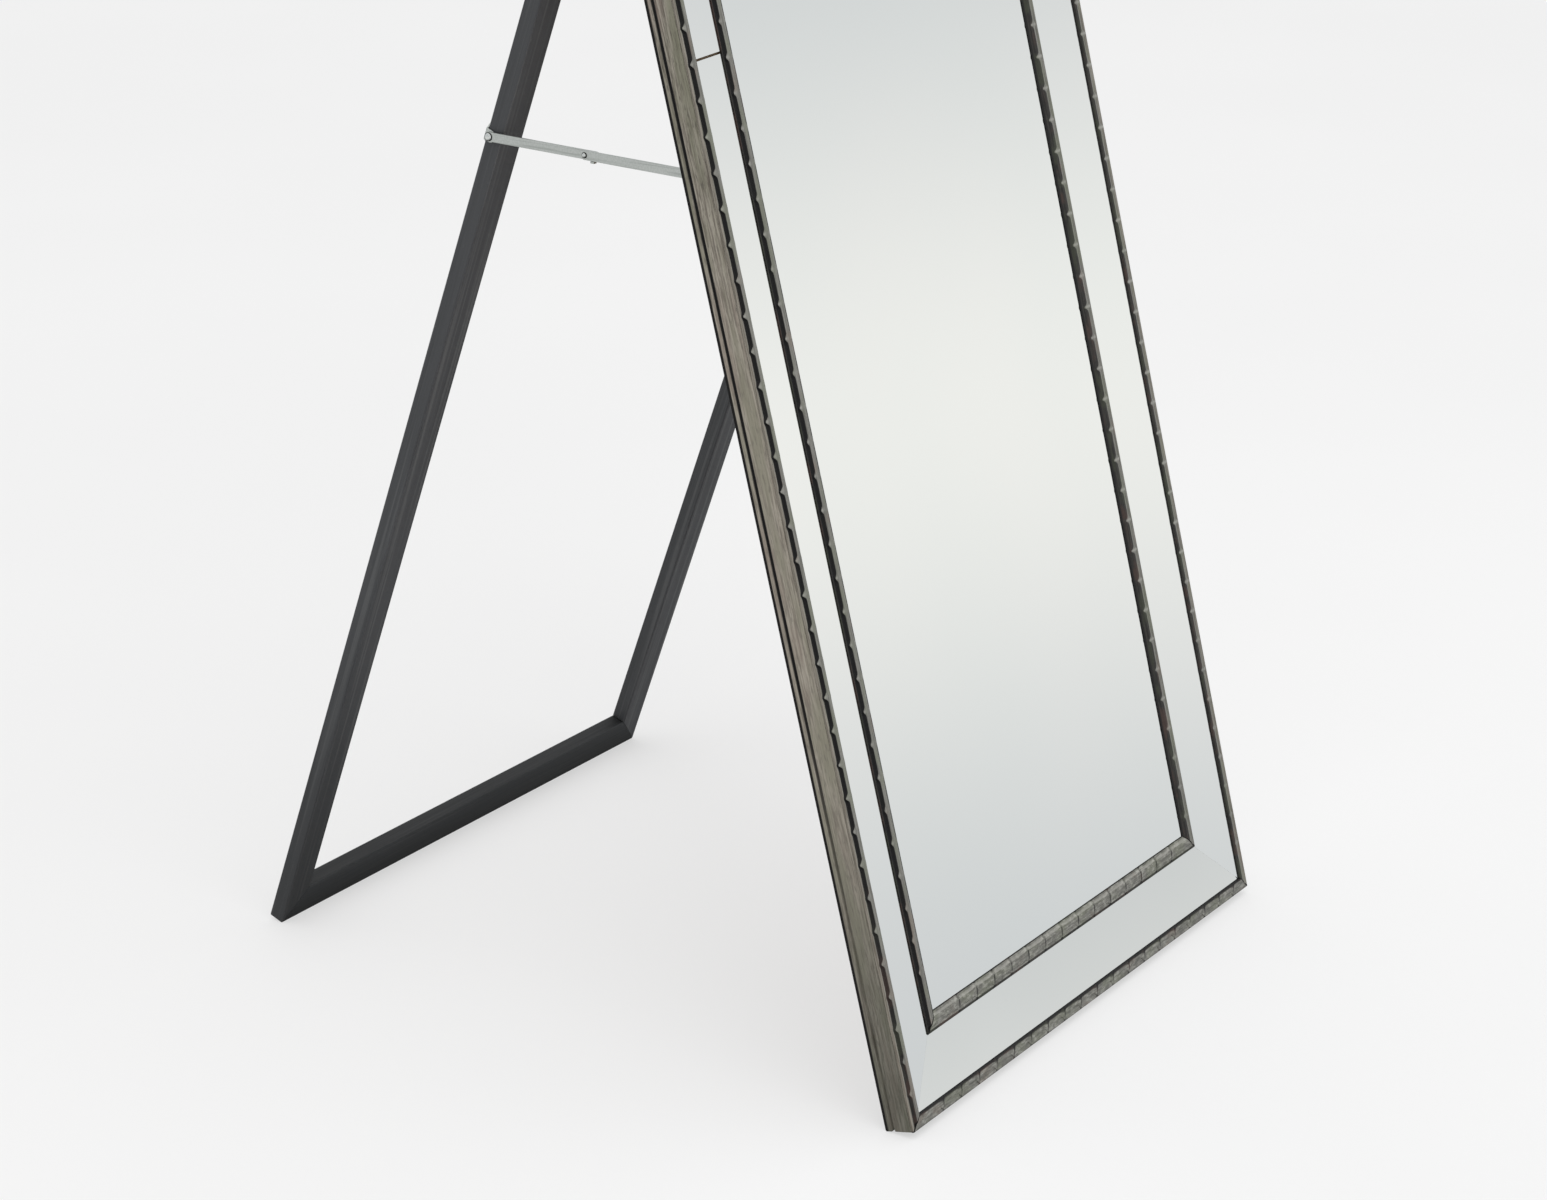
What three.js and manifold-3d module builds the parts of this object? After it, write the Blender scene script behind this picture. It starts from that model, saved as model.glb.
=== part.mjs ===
// Leaning floor mirror with a folding easel. Millimetres, +Z up, width along X, front faces -Y.
// The frame carries a sloping border of mirror glass, a carved inner moulding and a centre pane.
// The easel hangs on two butt hinges, and a two-link steel stay stops it when it is open.
import * as THREE from 'three';
import { mergeVertices } from 'three/addons/utils/BufferGeometryUtils.js';
import Module from 'manifold-3d';

const wasm = await Module();
wasm.setup();

// ---------------------------------------------------------------- driving dimensions

// Stance: how the open mirror stands on the floor.
const mirrorLean = THREE.MathUtils.degToRad(14.38);
const easelLean = THREE.MathUtils.degToRad(20.14);
const easelSpread = 693.6; // along the floor, mirror's rear edge to easel's front edge

// Clearances between pieces that touch on the real mirror.
const seatGap = 0.3;
const pinClearance = 0.3;
const jointGap = 0.3; // between mitred or butted ends
const seamGap = 1.2; // between two lengths of border glass

// Outer frame: a narrow, deep moulding on edge, with a groove along its side.
const mirrorWidth = 600;
const mirrorHeight = 1815;
const frameWall = 12;
const frameBodyDepth = 27.2;
const frameChamfer = 1.2;
const grooveSetback = 8.8; // from the frame's rear edge to the groove's middle
const grooveWidth = 3.4;
const grooveFloor = 0.8;
const grooveDepth = 2.2;

// Carved mouldings: a flat crest, with a ledge and a long scoop on its outer side and a bevel on
// its inner side. A raised nib bridges the scoop at every pitch.
const nibPitch = 28;
const scoopRun = 5; // from a nib to the deepest part of its scoop
const outerBead = {
  width: 12,
  height: 3.6,
  rim: 2.3, // height of the outer edge
  scoopStart: 5.3, // from the outer edge
  scoopLevel: 1, // wood left under a scoop
  crestStart: 6.6,
  crestEnd: 11.5,
  edge: 1, // height of the inner edge
  nibReach: 4.4, // how far a nib stands out from the crest
};
const innerBead = {
  width: 15.8,
  height: 3.4,
  rim: 2.4,
  scoopStart: 3.8,
  scoopLevel: 0.7,
  crestStart: 5.6,
  crestEnd: 11.2,
  edge: 0.4,
  nibReach: 2.5,
};
const innerBeadOverlap = 8; // how far the inner moulding covers the pane

// Glass, and what it is glued to.
const borderWidth = 50.6;
const borderOuterLevel = 28.5; // front of the border glass at the outer frame
const borderInnerLevel = 17.9; // and at the inner moulding
const borderGlass = 3;
const paneGlass = 4;
const backBoard = 3;
const backRecess = 9; // rear edge of the frame to the back board

// Easel: a mitred frame of flat bars.
const stayRoom = 1.9; // from the stay's outermost rivet head to the frame's wall
const legFace = 30;
const railFace = 32.6;
const easelThickness = 15.7;
const easelArris = 0.9;
const easelTopRise = 3; // above the hinge pins

// Butt hinges, one at the head of each leg.
const hingeWidth = 26;
const hingeLeafLength = 42;
const hingeLeafThickness = 1.5;
const knuckleRadius = 3.2;
const middleKnuckle = 9.6;
const hingePinRadius = 1.4;
const pinHeadRadius = 2.4;
const pinHeadHeight = 1;
const hingeScrewRows = [22, 34]; // below the pin

// Countersunk wood screws.
const screwHeadRadius = 3;
const screwHeadHeight = 1.5;
const screwShank = 1.3;
const screwTip = 1.6;
const screwLength = 8;

// Folding stay, on the left.
const stayWidth = 8;
const stayThickness = 1.6;
const rearLinkLength = 101.5;
const legPivotHeight = 844; // up the leg from the floor edge
const legPivotDepth = 10.9; // behind the leg's front face
const mirrorPivotHeight = 817; // up the frame's back
const mirrorPivotStandOff = 4.4; // behind the back board
const rivetShank = 1.8;
const endRivetHead = 3.8;
const midRivetHead = 2.5;
const rivetTail = 2.3;
const rivetHeadHeight = 1.2;
const rivetTailHeight = 1;
const rivetRecess = 1.7;
const bracketThickness = 1.5;
const bracketEarRadius = 5.4;
const bracketFlange = 24;
const bracketHeight = 22;
const bracketCorner = 3;
const bracketScrewInset = 8;
const bracketScrewSpread = 12;
const linkTail = 10; // rear link, past the middle rivet
const stopTabLength = 4;

// Facets of the round pieces.
const screwSides = 10;
const rivetSides = 14;
const knuckleSides = 16;
const boreSides = 12;
const domeSteps = 3;
const plateCurve = 7;
const cornerCurve = 5;
const overshoot = 1; // how far a cutting tool starts outside what it cuts
const quarter = Math.PI / 2;

// ---------------------------------------------------------------- levels that follow

const boardFront = backRecess + backBoard;
const paneBack = boardFront + seatGap;
const paneLevel = paneBack + paneGlass;
const beadFoot = frameBodyDepth + seatGap;
const innerBeadFoot = paneLevel + seatGap;
const borderStart = frameWall;
const borderEnd = frameWall + borderWidth;
const innerBeadEnd = borderEnd + innerBead.width;
const paneEdge = innerBeadEnd - innerBeadOverlap;
const borderSlope = (borderOuterLevel - borderInnerLevel) / borderWidth;
const borderLevel = (inset) => borderOuterLevel - borderSlope * (inset - borderStart);
const openAngle = mirrorLean + easelLean;

// The stay lies between the leg and the frame's wall, in layers counted outwards from the leg.
const earOffset = seatGap;
const rearLinkOffset = earOffset + bracketThickness + seatGap;
const frontLinkOffset = rearLinkOffset + stayThickness + seatGap;
const stayStack = frontLinkOffset + stayThickness + seatGap + rivetHeadHeight;
const legSide = mirrorWidth / 2 - frameWall - stayRoom - stayStack;
const easelWidth = 2 * legSide;
const earInner = legSide + earOffset;
const rearLinkInner = legSide + rearLinkOffset;
const frontLinkInner = legSide + frontLinkOffset;

// Hinge pins: tangent to the back board and to the easel's front face.
const pinOffset = knuckleRadius + seatGap;
const pinDepth = backRecess - pinOffset;
const pinHeight = (easelSpread * Math.cos(easelLean) - pinOffset + pinDepth * Math.cos(openAngle))
  / Math.sin(openAngle);
const pinReach = (easelSpread * Math.cos(mirrorLean) + pinDepth - pinOffset * Math.cos(openAngle))
  / Math.sin(openAngle);
const easelHeight = pinReach + easelTopRise;
const hingeX = easelWidth / 2 - legFace / 2;

// ---------------------------------------------------------------- materials

const finish = (color, roughness, metalness) => (
  new THREE.MeshStandardMaterial({ color, roughness, metalness })
);
const frameWood = () => finish(0x7c776c, 0.62, 0);
const carvedWood = () => finish(0x84827a, 0.6, 0);
const boardWood = () => finish(0x6b5a45, 0.85, 0);
const easelWood = () => finish(0x434548, 0.6, 0);
const mirrorGlass = () => finish(0xdfe3e4, 0.04, 1);
const zincSteel = () => finish(0xb0b4b0, 0.38, 1);

// ---------------------------------------------------------------- shared geometry

// Turns a closed triangle list so that its faces point out.
function facingOut(geometry) {
  const index = geometry.index.array;
  const at = geometry.attributes.position;
  const [a, b, c] = [new THREE.Vector3(), new THREE.Vector3(), new THREE.Vector3()];
  let volume = 0;
  for (let i = 0; i < index.length; i += 3) {
    a.fromBufferAttribute(at, index[i]);
    b.fromBufferAttribute(at, index[i + 1]);
    c.fromBufferAttribute(at, index[i + 2]);
    volume += a.dot(b.cross(c));
  }
  if (volume < 0) {
    for (let i = 0; i < index.length; i += 3) {
      [index[i + 1], index[i + 2]] = [index[i + 2], index[i + 1]];
    }
  }
  return geometry;
}

// Joins rings of points, all alike in number, into one closed solid with capped ends.
function loft(rings, outline) {
  const count = outline.length;
  const faces = [];
  for (let r = 0; r < rings.length - 1; r += 1) {
    for (let i = 0; i < count; i += 1) {
      const here = r * count + i;
      const next = r * count + ((i + 1) % count);
      faces.push(here, next, next + count, here, next + count, here + count);
    }
  }
  const last = (rings.length - 1) * count;
  const capPoints = outline.map(([x, y]) => new THREE.Vector2(x, y));
  const turned = THREE.ShapeUtils.isClockWise(capPoints);
  for (const cap of THREE.ShapeUtils.triangulateShape(capPoints, [])) {
    const [a, b, c] = turned ? [cap[0], cap[2], cap[1]] : cap;
    faces.push(a, c, b, last + a, last + b, last + c);
  }
  const geometry = new THREE.BufferGeometry().setFromPoints(rings.flat());
  geometry.setIndex(faces);
  return facingOut(geometry);
}

// A copy with shared vertices, positions only, and no triangle of zero width.
function welded(geometry) {
  const bare = geometry.clone();
  bare.deleteAttribute('normal');
  bare.deleteAttribute('uv');
  const merged = mergeVertices(bare, 1e-5);
  const kept = [];
  for (let i = 0; i < merged.index.count; i += 3) {
    const [a, b, c] = merged.index.array.slice(i, i + 3);
    if (a !== b && b !== c && c !== a) {
      kept.push(a, b, c);
    }
  }
  merged.setIndex(kept);
  return facingOut(merged);
}

// A closed three.js geometry as a solid for cutting and joining.
function solid(geometry) {
  const merged = welded(geometry);
  return new wasm.Manifold(new wasm.Mesh({
    numProp: 3,
    vertProperties: new Float32Array(merged.attributes.position.array),
    triVerts: new Uint32Array(merged.index.array),
  }));
}

// A solid as a three.js geometry again.
function surface(body) {
  const mesh = body.getMesh();
  const geometry = new THREE.BufferGeometry();
  geometry.setAttribute('position', new THREE.BufferAttribute(mesh.vertProperties, 3));
  geometry.setIndex(new THREE.BufferAttribute(mesh.triVerts, 1));
  return geometry;
}

const cut = (geometry, tools) => (
  surface(tools.reduce((body, tool) => body.subtract(solid(tool)), solid(geometry)))
);
const join = (...pieces) => (
  surface(pieces.slice(1).reduce((body, piece) => body.add(solid(piece)), solid(pieces[0])))
);

// A box between two corners.
function block([x0, y0, z0], [x1, y1, z1]) {
  const box = new THREE.BoxGeometry(x1 - x0, y1 - y0, z1 - z0);
  return box.translate((x0 + x1) / 2, (y0 + y1) / 2, (z0 + z1) / 2);
}

// A turned piece along +X, from an outline of [radius, distance] points.
function turnedX(outline, sides) {
  const points = outline.map(([radius, along]) => new THREE.Vector2(radius, along));
  return new THREE.LatheGeometry(points, sides).rotateZ(-quarter);
}

// A round bar along +X.
const rodX = (radius, from, to, sides) => (
  turnedX([[0, from], [radius, from], [radius, to], [0, to]], sides)
);

// A flat plate in the YZ plane, from one X to another.
function plateX(shape, from, to) {
  const plate = new THREE.ExtrudeGeometry(shape, {
    depth: to - from,
    bevelEnabled: false,
    curveSegments: plateCurve,
  });
  // Shape x and y become local y and z, and the depth runs along x.
  const axes = new THREE.Matrix4().set(0, 0, 1, from, 1, 0, 0, 0, 0, 1, 0, 0, 0, 0, 0, 1);
  return plate.applyMatrix4(axes);
}

// A rectangle with rounded corners as a shape.
function roundedRectangle(x0, y0, x1, y1, radius) {
  const shape = new THREE.Shape();
  shape.moveTo(x0 + radius, y0);
  shape.lineTo(x1 - radius, y0);
  shape.absarc(x1 - radius, y0 + radius, radius, -quarter, 0);
  shape.lineTo(x1, y1 - radius);
  shape.absarc(x1 - radius, y1 - radius, radius, 0, quarter);
  shape.lineTo(x0 + radius, y1);
  shape.absarc(x0 + radius, y1 - radius, radius, quarter, 2 * quarter);
  shape.lineTo(x0, y0 + radius);
  shape.absarc(x0 + radius, y0 + radius, radius, 2 * quarter, 3 * quarter);
  return shape;
}

// ---------------------------------------------------------------- mitred frames

// A rectangular frame of four bars. A bar's outline is given as [inset, depth]: inset runs
// inwards from the frame's outer edge and depth runs along local Y times `facing`.
function mitredFrame(width, height, facing, stileFace = 1, crossFace = 1) {
  const rise = crossFace / stileFace;
  const at = (x, depth, z) => new THREE.Vector3(x, facing * depth, z);
  return {
    left: { length: height, mitre: rise, place: (a, d, s) => at(a - width / 2, d, s) },
    right: { length: height, mitre: rise, place: (a, d, s) => at(width / 2 - a, d, s) },
    bottom: { length: width, mitre: 1 / rise, place: (a, d, s) => at(s - width / 2, d, a) },
    top: { length: width, mitre: 1 / rise, place: (a, d, s) => at(s - width / 2, d, height - a) },
  };
}

// One bar of a frame. An end is mitred, or cut square where a distance is given.
function frameBar(side, outline, { from, to, stations = [] } = {}) {
  const setBack = (jointGap / 2) * Math.hypot(1, side.mitre);
  const start = (inset) => from ?? inset * side.mitre + setBack;
  const end = (inset) => to ?? side.length - inset * side.mitre - setBack;
  const rings = [
    outline.map(([a, d]) => side.place(a, d, start(a))),
    ...stations.map(({ s, profile }) => profile.map(([a, d]) => side.place(a, d, s))),
    outline.map(([a, d]) => side.place(a, d, end(a))),
  ];
  return loft(rings, outline);
}

// The rings of a carved bar: a nib at every pitch, and just after it the deepest of a scoop.
function carvedStations(side, inset, nib, scoop) {
  const margin = inset * side.mitre + scoopRun;
  const run = side.length - 2 * margin;
  const count = Math.round(run / nibPitch);
  const pitch = run / count;
  const stations = [];
  for (let k = 0; k < count; k += 1) {
    stations.push({ s: margin + pitch * k, profile: nib });
    stations.push({ s: margin + pitch * k + scoopRun, profile: scoop });
  }
  stations.push({ s: margin + pitch * count, profile: nib });
  return stations;
}

// A moulding's section at a scoop, or at a nib, where the crest's level reaches over the scoop.
function mouldingSection(bead, inset, foot, nib) {
  const scoop = nib
    ? [bead.crestStart - bead.nibReach, bead.height]
    : [bead.scoopStart, bead.scoopLevel];
  return [
    [0, 0],
    [0, bead.rim],
    scoop,
    [bead.crestStart, bead.height],
    [bead.crestEnd, bead.height],
    [bead.width, bead.edge],
    [bead.width, 0],
  ].map(([across, up]) => [inset + across, foot + up]);
}

const mirrorFrame = mitredFrame(mirrorWidth, mirrorHeight, -1);
const easelFrame = mitredFrame(easelWidth, easelHeight, 1, legFace, railFace);
const sideNames = ['left', 'right', 'bottom', 'top'];

// ---------------------------------------------------------------- mirror pieces

// Outer frame bar: rear lip, groove along the side and a plain front that takes the moulding.
function frameBody(name) {
  const nearEdge = grooveSetback - grooveWidth / 2;
  const farEdge = grooveSetback + grooveWidth / 2;
  return frameBar(mirrorFrame[name], [
    [frameChamfer, 0],
    [0, frameChamfer],
    [0, nearEdge],
    [grooveDepth, grooveSetback - grooveFloor / 2],
    [grooveDepth, grooveSetback + grooveFloor / 2],
    [0, farEdge],
    [0, frameBodyDepth],
    [frameWall, frameBodyDepth],
    [frameWall, frameChamfer],
    [frameWall - frameChamfer, 0],
  ]);
}

// Carved moulding bar, its outer edge at an inset.
function carvedBar(name, bead, inset, foot) {
  const nib = mouldingSection(bead, inset, foot, true);
  const scoop = mouldingSection(bead, inset, foot, false);
  const side = mirrorFrame[name];
  const stations = carvedStations(side, inset + bead.width, nib, scoop);
  return frameBar(side, nib, { stations });
}

// Sloping batten that the border glass is glued to, with a flat shelf for the inner moulding.
function borderBatten(name) {
  const start = borderStart + seatGap;
  const shelf = paneEdge - seatGap;
  const bed = (inset) => borderLevel(inset) - borderGlass - seatGap;
  return frameBar(mirrorFrame[name], [
    [start, paneBack],
    [start, bed(start)],
    [borderEnd - seatGap, bed(borderEnd - seatGap)],
    [borderEnd + seatGap, paneLevel],
    [shelf, paneLevel],
    [shelf, paneBack],
  ]);
}

// A length of border glass.
function borderStrip(name, ends) {
  const start = borderStart + seatGap;
  const end = borderEnd - seatGap;
  return frameBar(mirrorFrame[name], [
    [start, borderLevel(start) - borderGlass],
    [start, borderLevel(start)],
    [end, borderLevel(end)],
    [end, borderLevel(end) - borderGlass],
  ], ends);
}

// A flat sheet inside the frame, between two depths.
function sheet(inset, back, front) {
  return block(
    [inset - mirrorWidth / 2, -front, inset],
    [mirrorWidth / 2 - inset, -back, mirrorHeight - inset],
  );
}

// ---------------------------------------------------------------- screws and rivets

// A countersunk screw with its head's face at the origin, driven along -Y by default.
function screw() {
  const outline = [
    [0, 0],
    [screwHeadRadius, 0],
    [screwShank, screwHeadHeight],
    [screwShank, screwLength - screwTip],
    [0, screwLength],
  ];
  return turnedX(outline, screwSides).rotateZ(-quarter);
}

// The hole that a screw needs in the plate and in the wood behind it.
function screwHole() {
  const outline = [
    [0, -overshoot],
    [screwHeadRadius + pinClearance, -overshoot],
    [screwHeadRadius + pinClearance, 0],
    [screwShank + pinClearance, screwHeadHeight],
    [screwShank + pinClearance, screwLength + pinClearance],
    [0, screwLength + pinClearance],
  ];
  return turnedX(outline, screwSides).rotateZ(-quarter);
}

// A rivet along X: a domed head at `head`, a plain shank to `end`, and there a flat tail if
// `tailed` is true.
function rivet({ x: y, y: z }, headRadius, head, end, tailed) {
  const length = Math.abs(end - head);
  const dome = Array.from({ length: domeSteps + 1 }, (_, k) => {
    const angle = (quarter * k) / domeSteps;
    return [headRadius * Math.sin(angle), -rivetHeadHeight * Math.cos(angle)];
  });
  const tail = [
    [rivetTail, length],
    [rivetTail, length + rivetTailHeight],
    [0, length + rivetTailHeight],
  ];
  const outline = [
    ...dome,
    [rivetShank, 0],
    [rivetShank, length],
    ...(tailed ? tail : [[0, length]]),
  ];
  const body = turnedX(outline, rivetSides).scale(Math.sign(end - head), 1, 1);
  return welded(body).translate(head, y, z);
}

// ---------------------------------------------------------------- hinges

// One hinge leaf against the face y = 0, its plate on the +Y or -Y side, hanging below the pin.
// `outerKnuckles` is true for the leaf with two knuckles.
function hingeLeaf(x, faceY, way, pinZ, outerKnuckles) {
  const pinY = faceY + way * pinOffset;
  const near = faceY + way * seatGap;
  const far = near + way * hingeLeafThickness;
  const half = hingeWidth / 2;
  const inner = middleKnuckle / 2;
  const spans = outerKnuckles
    ? [[-half, -inner - seatGap], [inner + seatGap, half]]
    : [[-inner, inner]];
  const y = [near, far].sort((p, q) => p - q);
  const plate = block([x - half, y[0], pinZ - hingeLeafLength],
    [x + half, y[1], pinZ - knuckleRadius - seatGap]);
  const tabs = spans.map(([from, to]) => block(
    [x + from, y[0], pinZ - knuckleRadius - 2 * seatGap],
    [x + to, y[1], pinZ],
  ));
  const barrels = spans.map(([from, to]) => (
    rodX(knuckleRadius, x + from, x + to, knuckleSides).translate(0, pinY, pinZ)
  ));
  const boreRadius = hingePinRadius + pinClearance;
  const bore = rodX(boreRadius, x - half - overshoot, x + half + overshoot, boreSides)
    .translate(0, pinY, pinZ);
  return cut(join(plate, ...tabs, ...barrels), [bore]);
}

// Hinge pin with a flat head at each end.
function hingePin(x, y, z) {
  const half = hingeWidth / 2 + seatGap;
  return turnedX([
    [0, -half - pinHeadHeight],
    [pinHeadRadius, -half - pinHeadHeight],
    [pinHeadRadius, -half],
    [hingePinRadius, -half],
    [hingePinRadius, half],
    [pinHeadRadius, half],
    [pinHeadRadius, half + pinHeadHeight],
    [0, half + pinHeadHeight],
  ], rivetSides).translate(x, y, z);
}

// ---------------------------------------------------------------- folding stay

// Stay pivots in the upright plane of the side view, as [y, z] before the part is centred.
const mirrorPivotDepth = backRecess - mirrorPivotStandOff;
const onMirror = (height, depth) => new THREE.Vector2(
  height * Math.sin(mirrorLean) - depth * Math.cos(mirrorLean),
  height * Math.cos(mirrorLean) + depth * Math.sin(mirrorLean),
);
const onEasel = (height, depth) => new THREE.Vector2(
  easelSpread - height * Math.sin(easelLean) + depth * Math.cos(easelLean),
  height * Math.cos(easelLean) + depth * Math.sin(easelLean),
);
const legPivot = onEasel(legPivotHeight, legPivotDepth);
const mirrorPivot = onMirror(mirrorPivotHeight, mirrorPivotDepth);
const stayReach = legPivot.distanceTo(mirrorPivot);
const midPivot = legPivot.clone().lerp(mirrorPivot, rearLinkLength / stayReach);

// A straight link: round ends, a hole at each pivot, and an optional tail past the second one.
function stayLink(length, tail) {
  const half = stayWidth / 2;
  const shape = new THREE.Shape();
  shape.absarc(0, 0, half, quarter, 3 * quarter);
  shape.absarc(length + tail, 0, half, -quarter, quarter);
  for (const at of [0, length]) {
    const hole = new THREE.Path();
    hole.absarc(at, 0, rivetShank + pinClearance, 0, 4 * quarter);
    shape.holes.push(hole);
  }
  return shape;
}

// Places a link drawn along its own x axis between two pivots of the side view.
function placeLink(geometry, from, to) {
  const angle = Math.atan2(to.y - from.y, to.x - from.x);
  return geometry.rotateX(angle).translate(0, from.x, from.y);
}

// Rear link with the small tab that is bent out under the front link.
function rearLink() {
  const outer = -rearLinkInner;
  const plate = plateX(stayLink(rearLinkLength, linkTail), outer - stayThickness, outer);
  const under = stayWidth / 2;
  const tabEnd = rearLinkLength + linkTail;
  const tab = block(
    [-frontLinkInner - stayThickness, tabEnd - stopTabLength, under + seatGap],
    [outer, tabEnd, under + seatGap + stayThickness],
  );
  const root = block(
    [outer - stayThickness, tabEnd - stopTabLength, under - stayThickness],
    [outer, tabEnd, under + seatGap + stayThickness],
  );
  return placeLink(join(plate, root, tab), legPivot, midPivot);
}

function frontLink() {
  const outer = -frontLinkInner;
  const length = stayReach - rearLinkLength;
  return placeLink(plateX(stayLink(length, 0), outer - stayThickness, outer), midPivot, mirrorPivot);
}

// An angle bracket: a flange against a face and an ear that holds a pivot beside it.
// `base` is the Y of the flange's seat, `way` the side that it lies on, ear outline in Y and Z.
function angleBracket(base, way, earOuter, pivotY, pivotZ) {
  const near = base + way * seatGap;
  const far = near + way * bracketThickness;
  const ear = new THREE.Shape();
  const turn = pivotY < far ? 1 : -1;
  ear.moveTo(near, pivotZ + bracketHeight / 2);
  ear.lineTo(pivotY, pivotZ + bracketEarRadius);
  ear.absarc(pivotY, pivotZ, bracketEarRadius, quarter, quarter + 2 * turn * quarter, turn < 0);
  ear.lineTo(near, pivotZ - bracketHeight / 2);
  const hole = new THREE.Path();
  hole.absarc(pivotY, pivotZ, rivetShank + pinClearance, 0, 4 * quarter);
  ear.holes.push(hole);
  const earPlate = plateX(ear, earOuter, earOuter + bracketThickness);
  const flange = new THREE.ExtrudeGeometry(roundedRectangle(
    earOuter,
    pivotZ - bracketHeight / 2,
    earOuter + bracketFlange,
    pivotZ + bracketHeight / 2,
    bracketCorner,
  ), { depth: bracketThickness, bevelEnabled: false, curveSegments: cornerCurve });
  const square = block(
    [earOuter, 0, pivotZ - bracketHeight / 2],
    [earOuter + bracketThickness, bracketThickness, pivotZ + bracketHeight / 2],
  );
  const flat = (piece) => piece.translate(0, Math.min(near, far), 0);
  const upright = flange.rotateX(quarter).scale(1, -1, 1);
  return join(flat(upright), flat(square), earPlate);
}

// ---------------------------------------------------------------- assembly

const mirrorGroup = new THREE.Group();
mirrorGroup.rotation.x = -mirrorLean;
const easelGroup = new THREE.Group();
easelGroup.position.y = easelSpread;
easelGroup.rotation.x = easelLean;
const stayGroup = new THREE.Group();

function add(group, name, geometry, material) {
  const mesh = new THREE.Mesh(geometry, material);
  mesh.name = name;
  group.add(mesh);
  return mesh;
}

// Screw places: [name, x, z] on the back board or on an easel face.
const hingeSides = [['left', -hingeX], ['right', hingeX]];
const hingeScrews = (z) => hingeSides.flatMap(([side, x]) => (
  hingeScrewRows.map((row, i) => ({ name: `${side}_${i + 1}`, side, x, z: z - row }))
));
const mirrorHingeScrews = hingeScrews(pinHeight);
const easelHingeScrews = hingeScrews(pinReach);
const bracketScrewRows = (x, z) => [-1, 1].map((way, i) => ({
  name: String(i + 1), side: 'left', x, z: z + (way * bracketScrewSpread) / 2,
}));
const mirrorEarOuter = -(rearLinkInner + bracketThickness);
const legEarOuter = -(earInner + bracketThickness);
const mirrorBracketScrews = bracketScrewRows(
  mirrorEarOuter + bracketFlange - bracketScrewInset,
  mirrorPivotHeight,
);
const legBracketScrews = bracketScrewRows(
  legEarOuter + bracketFlange - bracketScrewInset,
  legPivotHeight,
);

// A screw's own place: head flush with the plate's outer face, turned to drive along `way` Y.
const plateFace = (base, way, thickness) => base + way * (seatGap + thickness);
function drive(make, { x, z }, y, way) {
  const piece = make();
  const turned = way > 0 ? piece : piece.rotateX(Math.PI);
  return turned.translate(x, y, z);
}
const mirrorHingeFace = plateFace(-backRecess, 1, hingeLeafThickness);
const easelHingeFace = plateFace(0, -1, hingeLeafThickness);
const mirrorBracketFace = plateFace(-backRecess, 1, bracketThickness);
const legBracketFace = plateFace(easelThickness, 1, bracketThickness);
const mirrorHoles = (side) => [
  ...mirrorHingeScrews.filter((s) => s.side === side)
    .map((s) => drive(screwHole, s, mirrorHingeFace, 1)),
  ...(side === 'left'
    ? mirrorBracketScrews.map((s) => drive(screwHole, s, mirrorBracketFace, 1))
    : []),
];

// Mirror: frame, carved mouldings, border and pane.
for (const name of sideNames) {
  add(mirrorGroup, `frame_${name}`, frameBody(name), frameWood());
  add(mirrorGroup, `outer_moulding_${name}`,
    carvedBar(name, outerBead, 0, beadFoot), carvedWood());
  add(mirrorGroup, `inner_moulding_${name}`,
    carvedBar(name, innerBead, borderEnd, innerBeadFoot), carvedWood());
  const batten = borderBatten(name);
  const holes = mirrorHoles(name);
  add(mirrorGroup, `border_batten_${name}`, holes.length ? cut(batten, holes) : batten, boardWood());
}
for (const name of ['left', 'right']) {
  const seam = mirrorHeight / 2;
  add(mirrorGroup, `border_glass_${name}_lower`,
    borderStrip(name, { to: seam - seamGap / 2 }), mirrorGlass());
  add(mirrorGroup, `border_glass_${name}_upper`,
    borderStrip(name, { from: seam + seamGap / 2 }), mirrorGlass());
}
for (const name of ['bottom', 'top']) {
  add(mirrorGroup, `border_glass_${name}`, borderStrip(name), mirrorGlass());
}
add(mirrorGroup, 'mirror_pane', sheet(paneEdge + seatGap, paneBack, paneLevel), mirrorGlass());
add(mirrorGroup, 'back_board', cut(
  sheet(frameWall + seatGap, backRecess, boardFront),
  [...mirrorHoles('left'), ...mirrorHoles('right')],
), boardWood());

// Easel: two legs and two rails, mitred and with softened arrises.
const barOutline = (face) => [
  [easelArris, 0],
  [0, easelArris],
  [0, easelThickness - easelArris],
  [easelArris, easelThickness],
  [face - easelArris, easelThickness],
  [face, easelThickness - easelArris],
  [face, easelArris],
  [face - easelArris, 0],
];
const pocketRadius = rivetTail + 2 * seatGap;
const rivetPocket = rodX(pocketRadius, -legSide - overshoot, -legSide + rivetRecess, rivetSides)
  .translate(0, legPivotDepth, legPivotHeight);
const easelHoles = {
  left: [
    ...easelHingeScrews.filter((s) => s.side === 'left')
      .map((s) => drive(screwHole, s, easelHingeFace, -1)),
    ...legBracketScrews.map((s) => drive(screwHole, s, legBracketFace, 1)),
    rivetPocket,
  ],
  right: easelHingeScrews.filter((s) => s.side === 'right')
    .map((s) => drive(screwHole, s, easelHingeFace, -1)),
};
for (const name of ['left', 'right']) {
  const leg = frameBar(easelFrame[name], barOutline(legFace));
  add(easelGroup, `easel_leg_${name}`, cut(leg, easelHoles[name]), easelWood());
}
for (const name of ['bottom', 'top']) {
  add(easelGroup, `easel_rail_${name}`, frameBar(easelFrame[name], barOutline(railFace)), easelWood());
}

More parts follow.
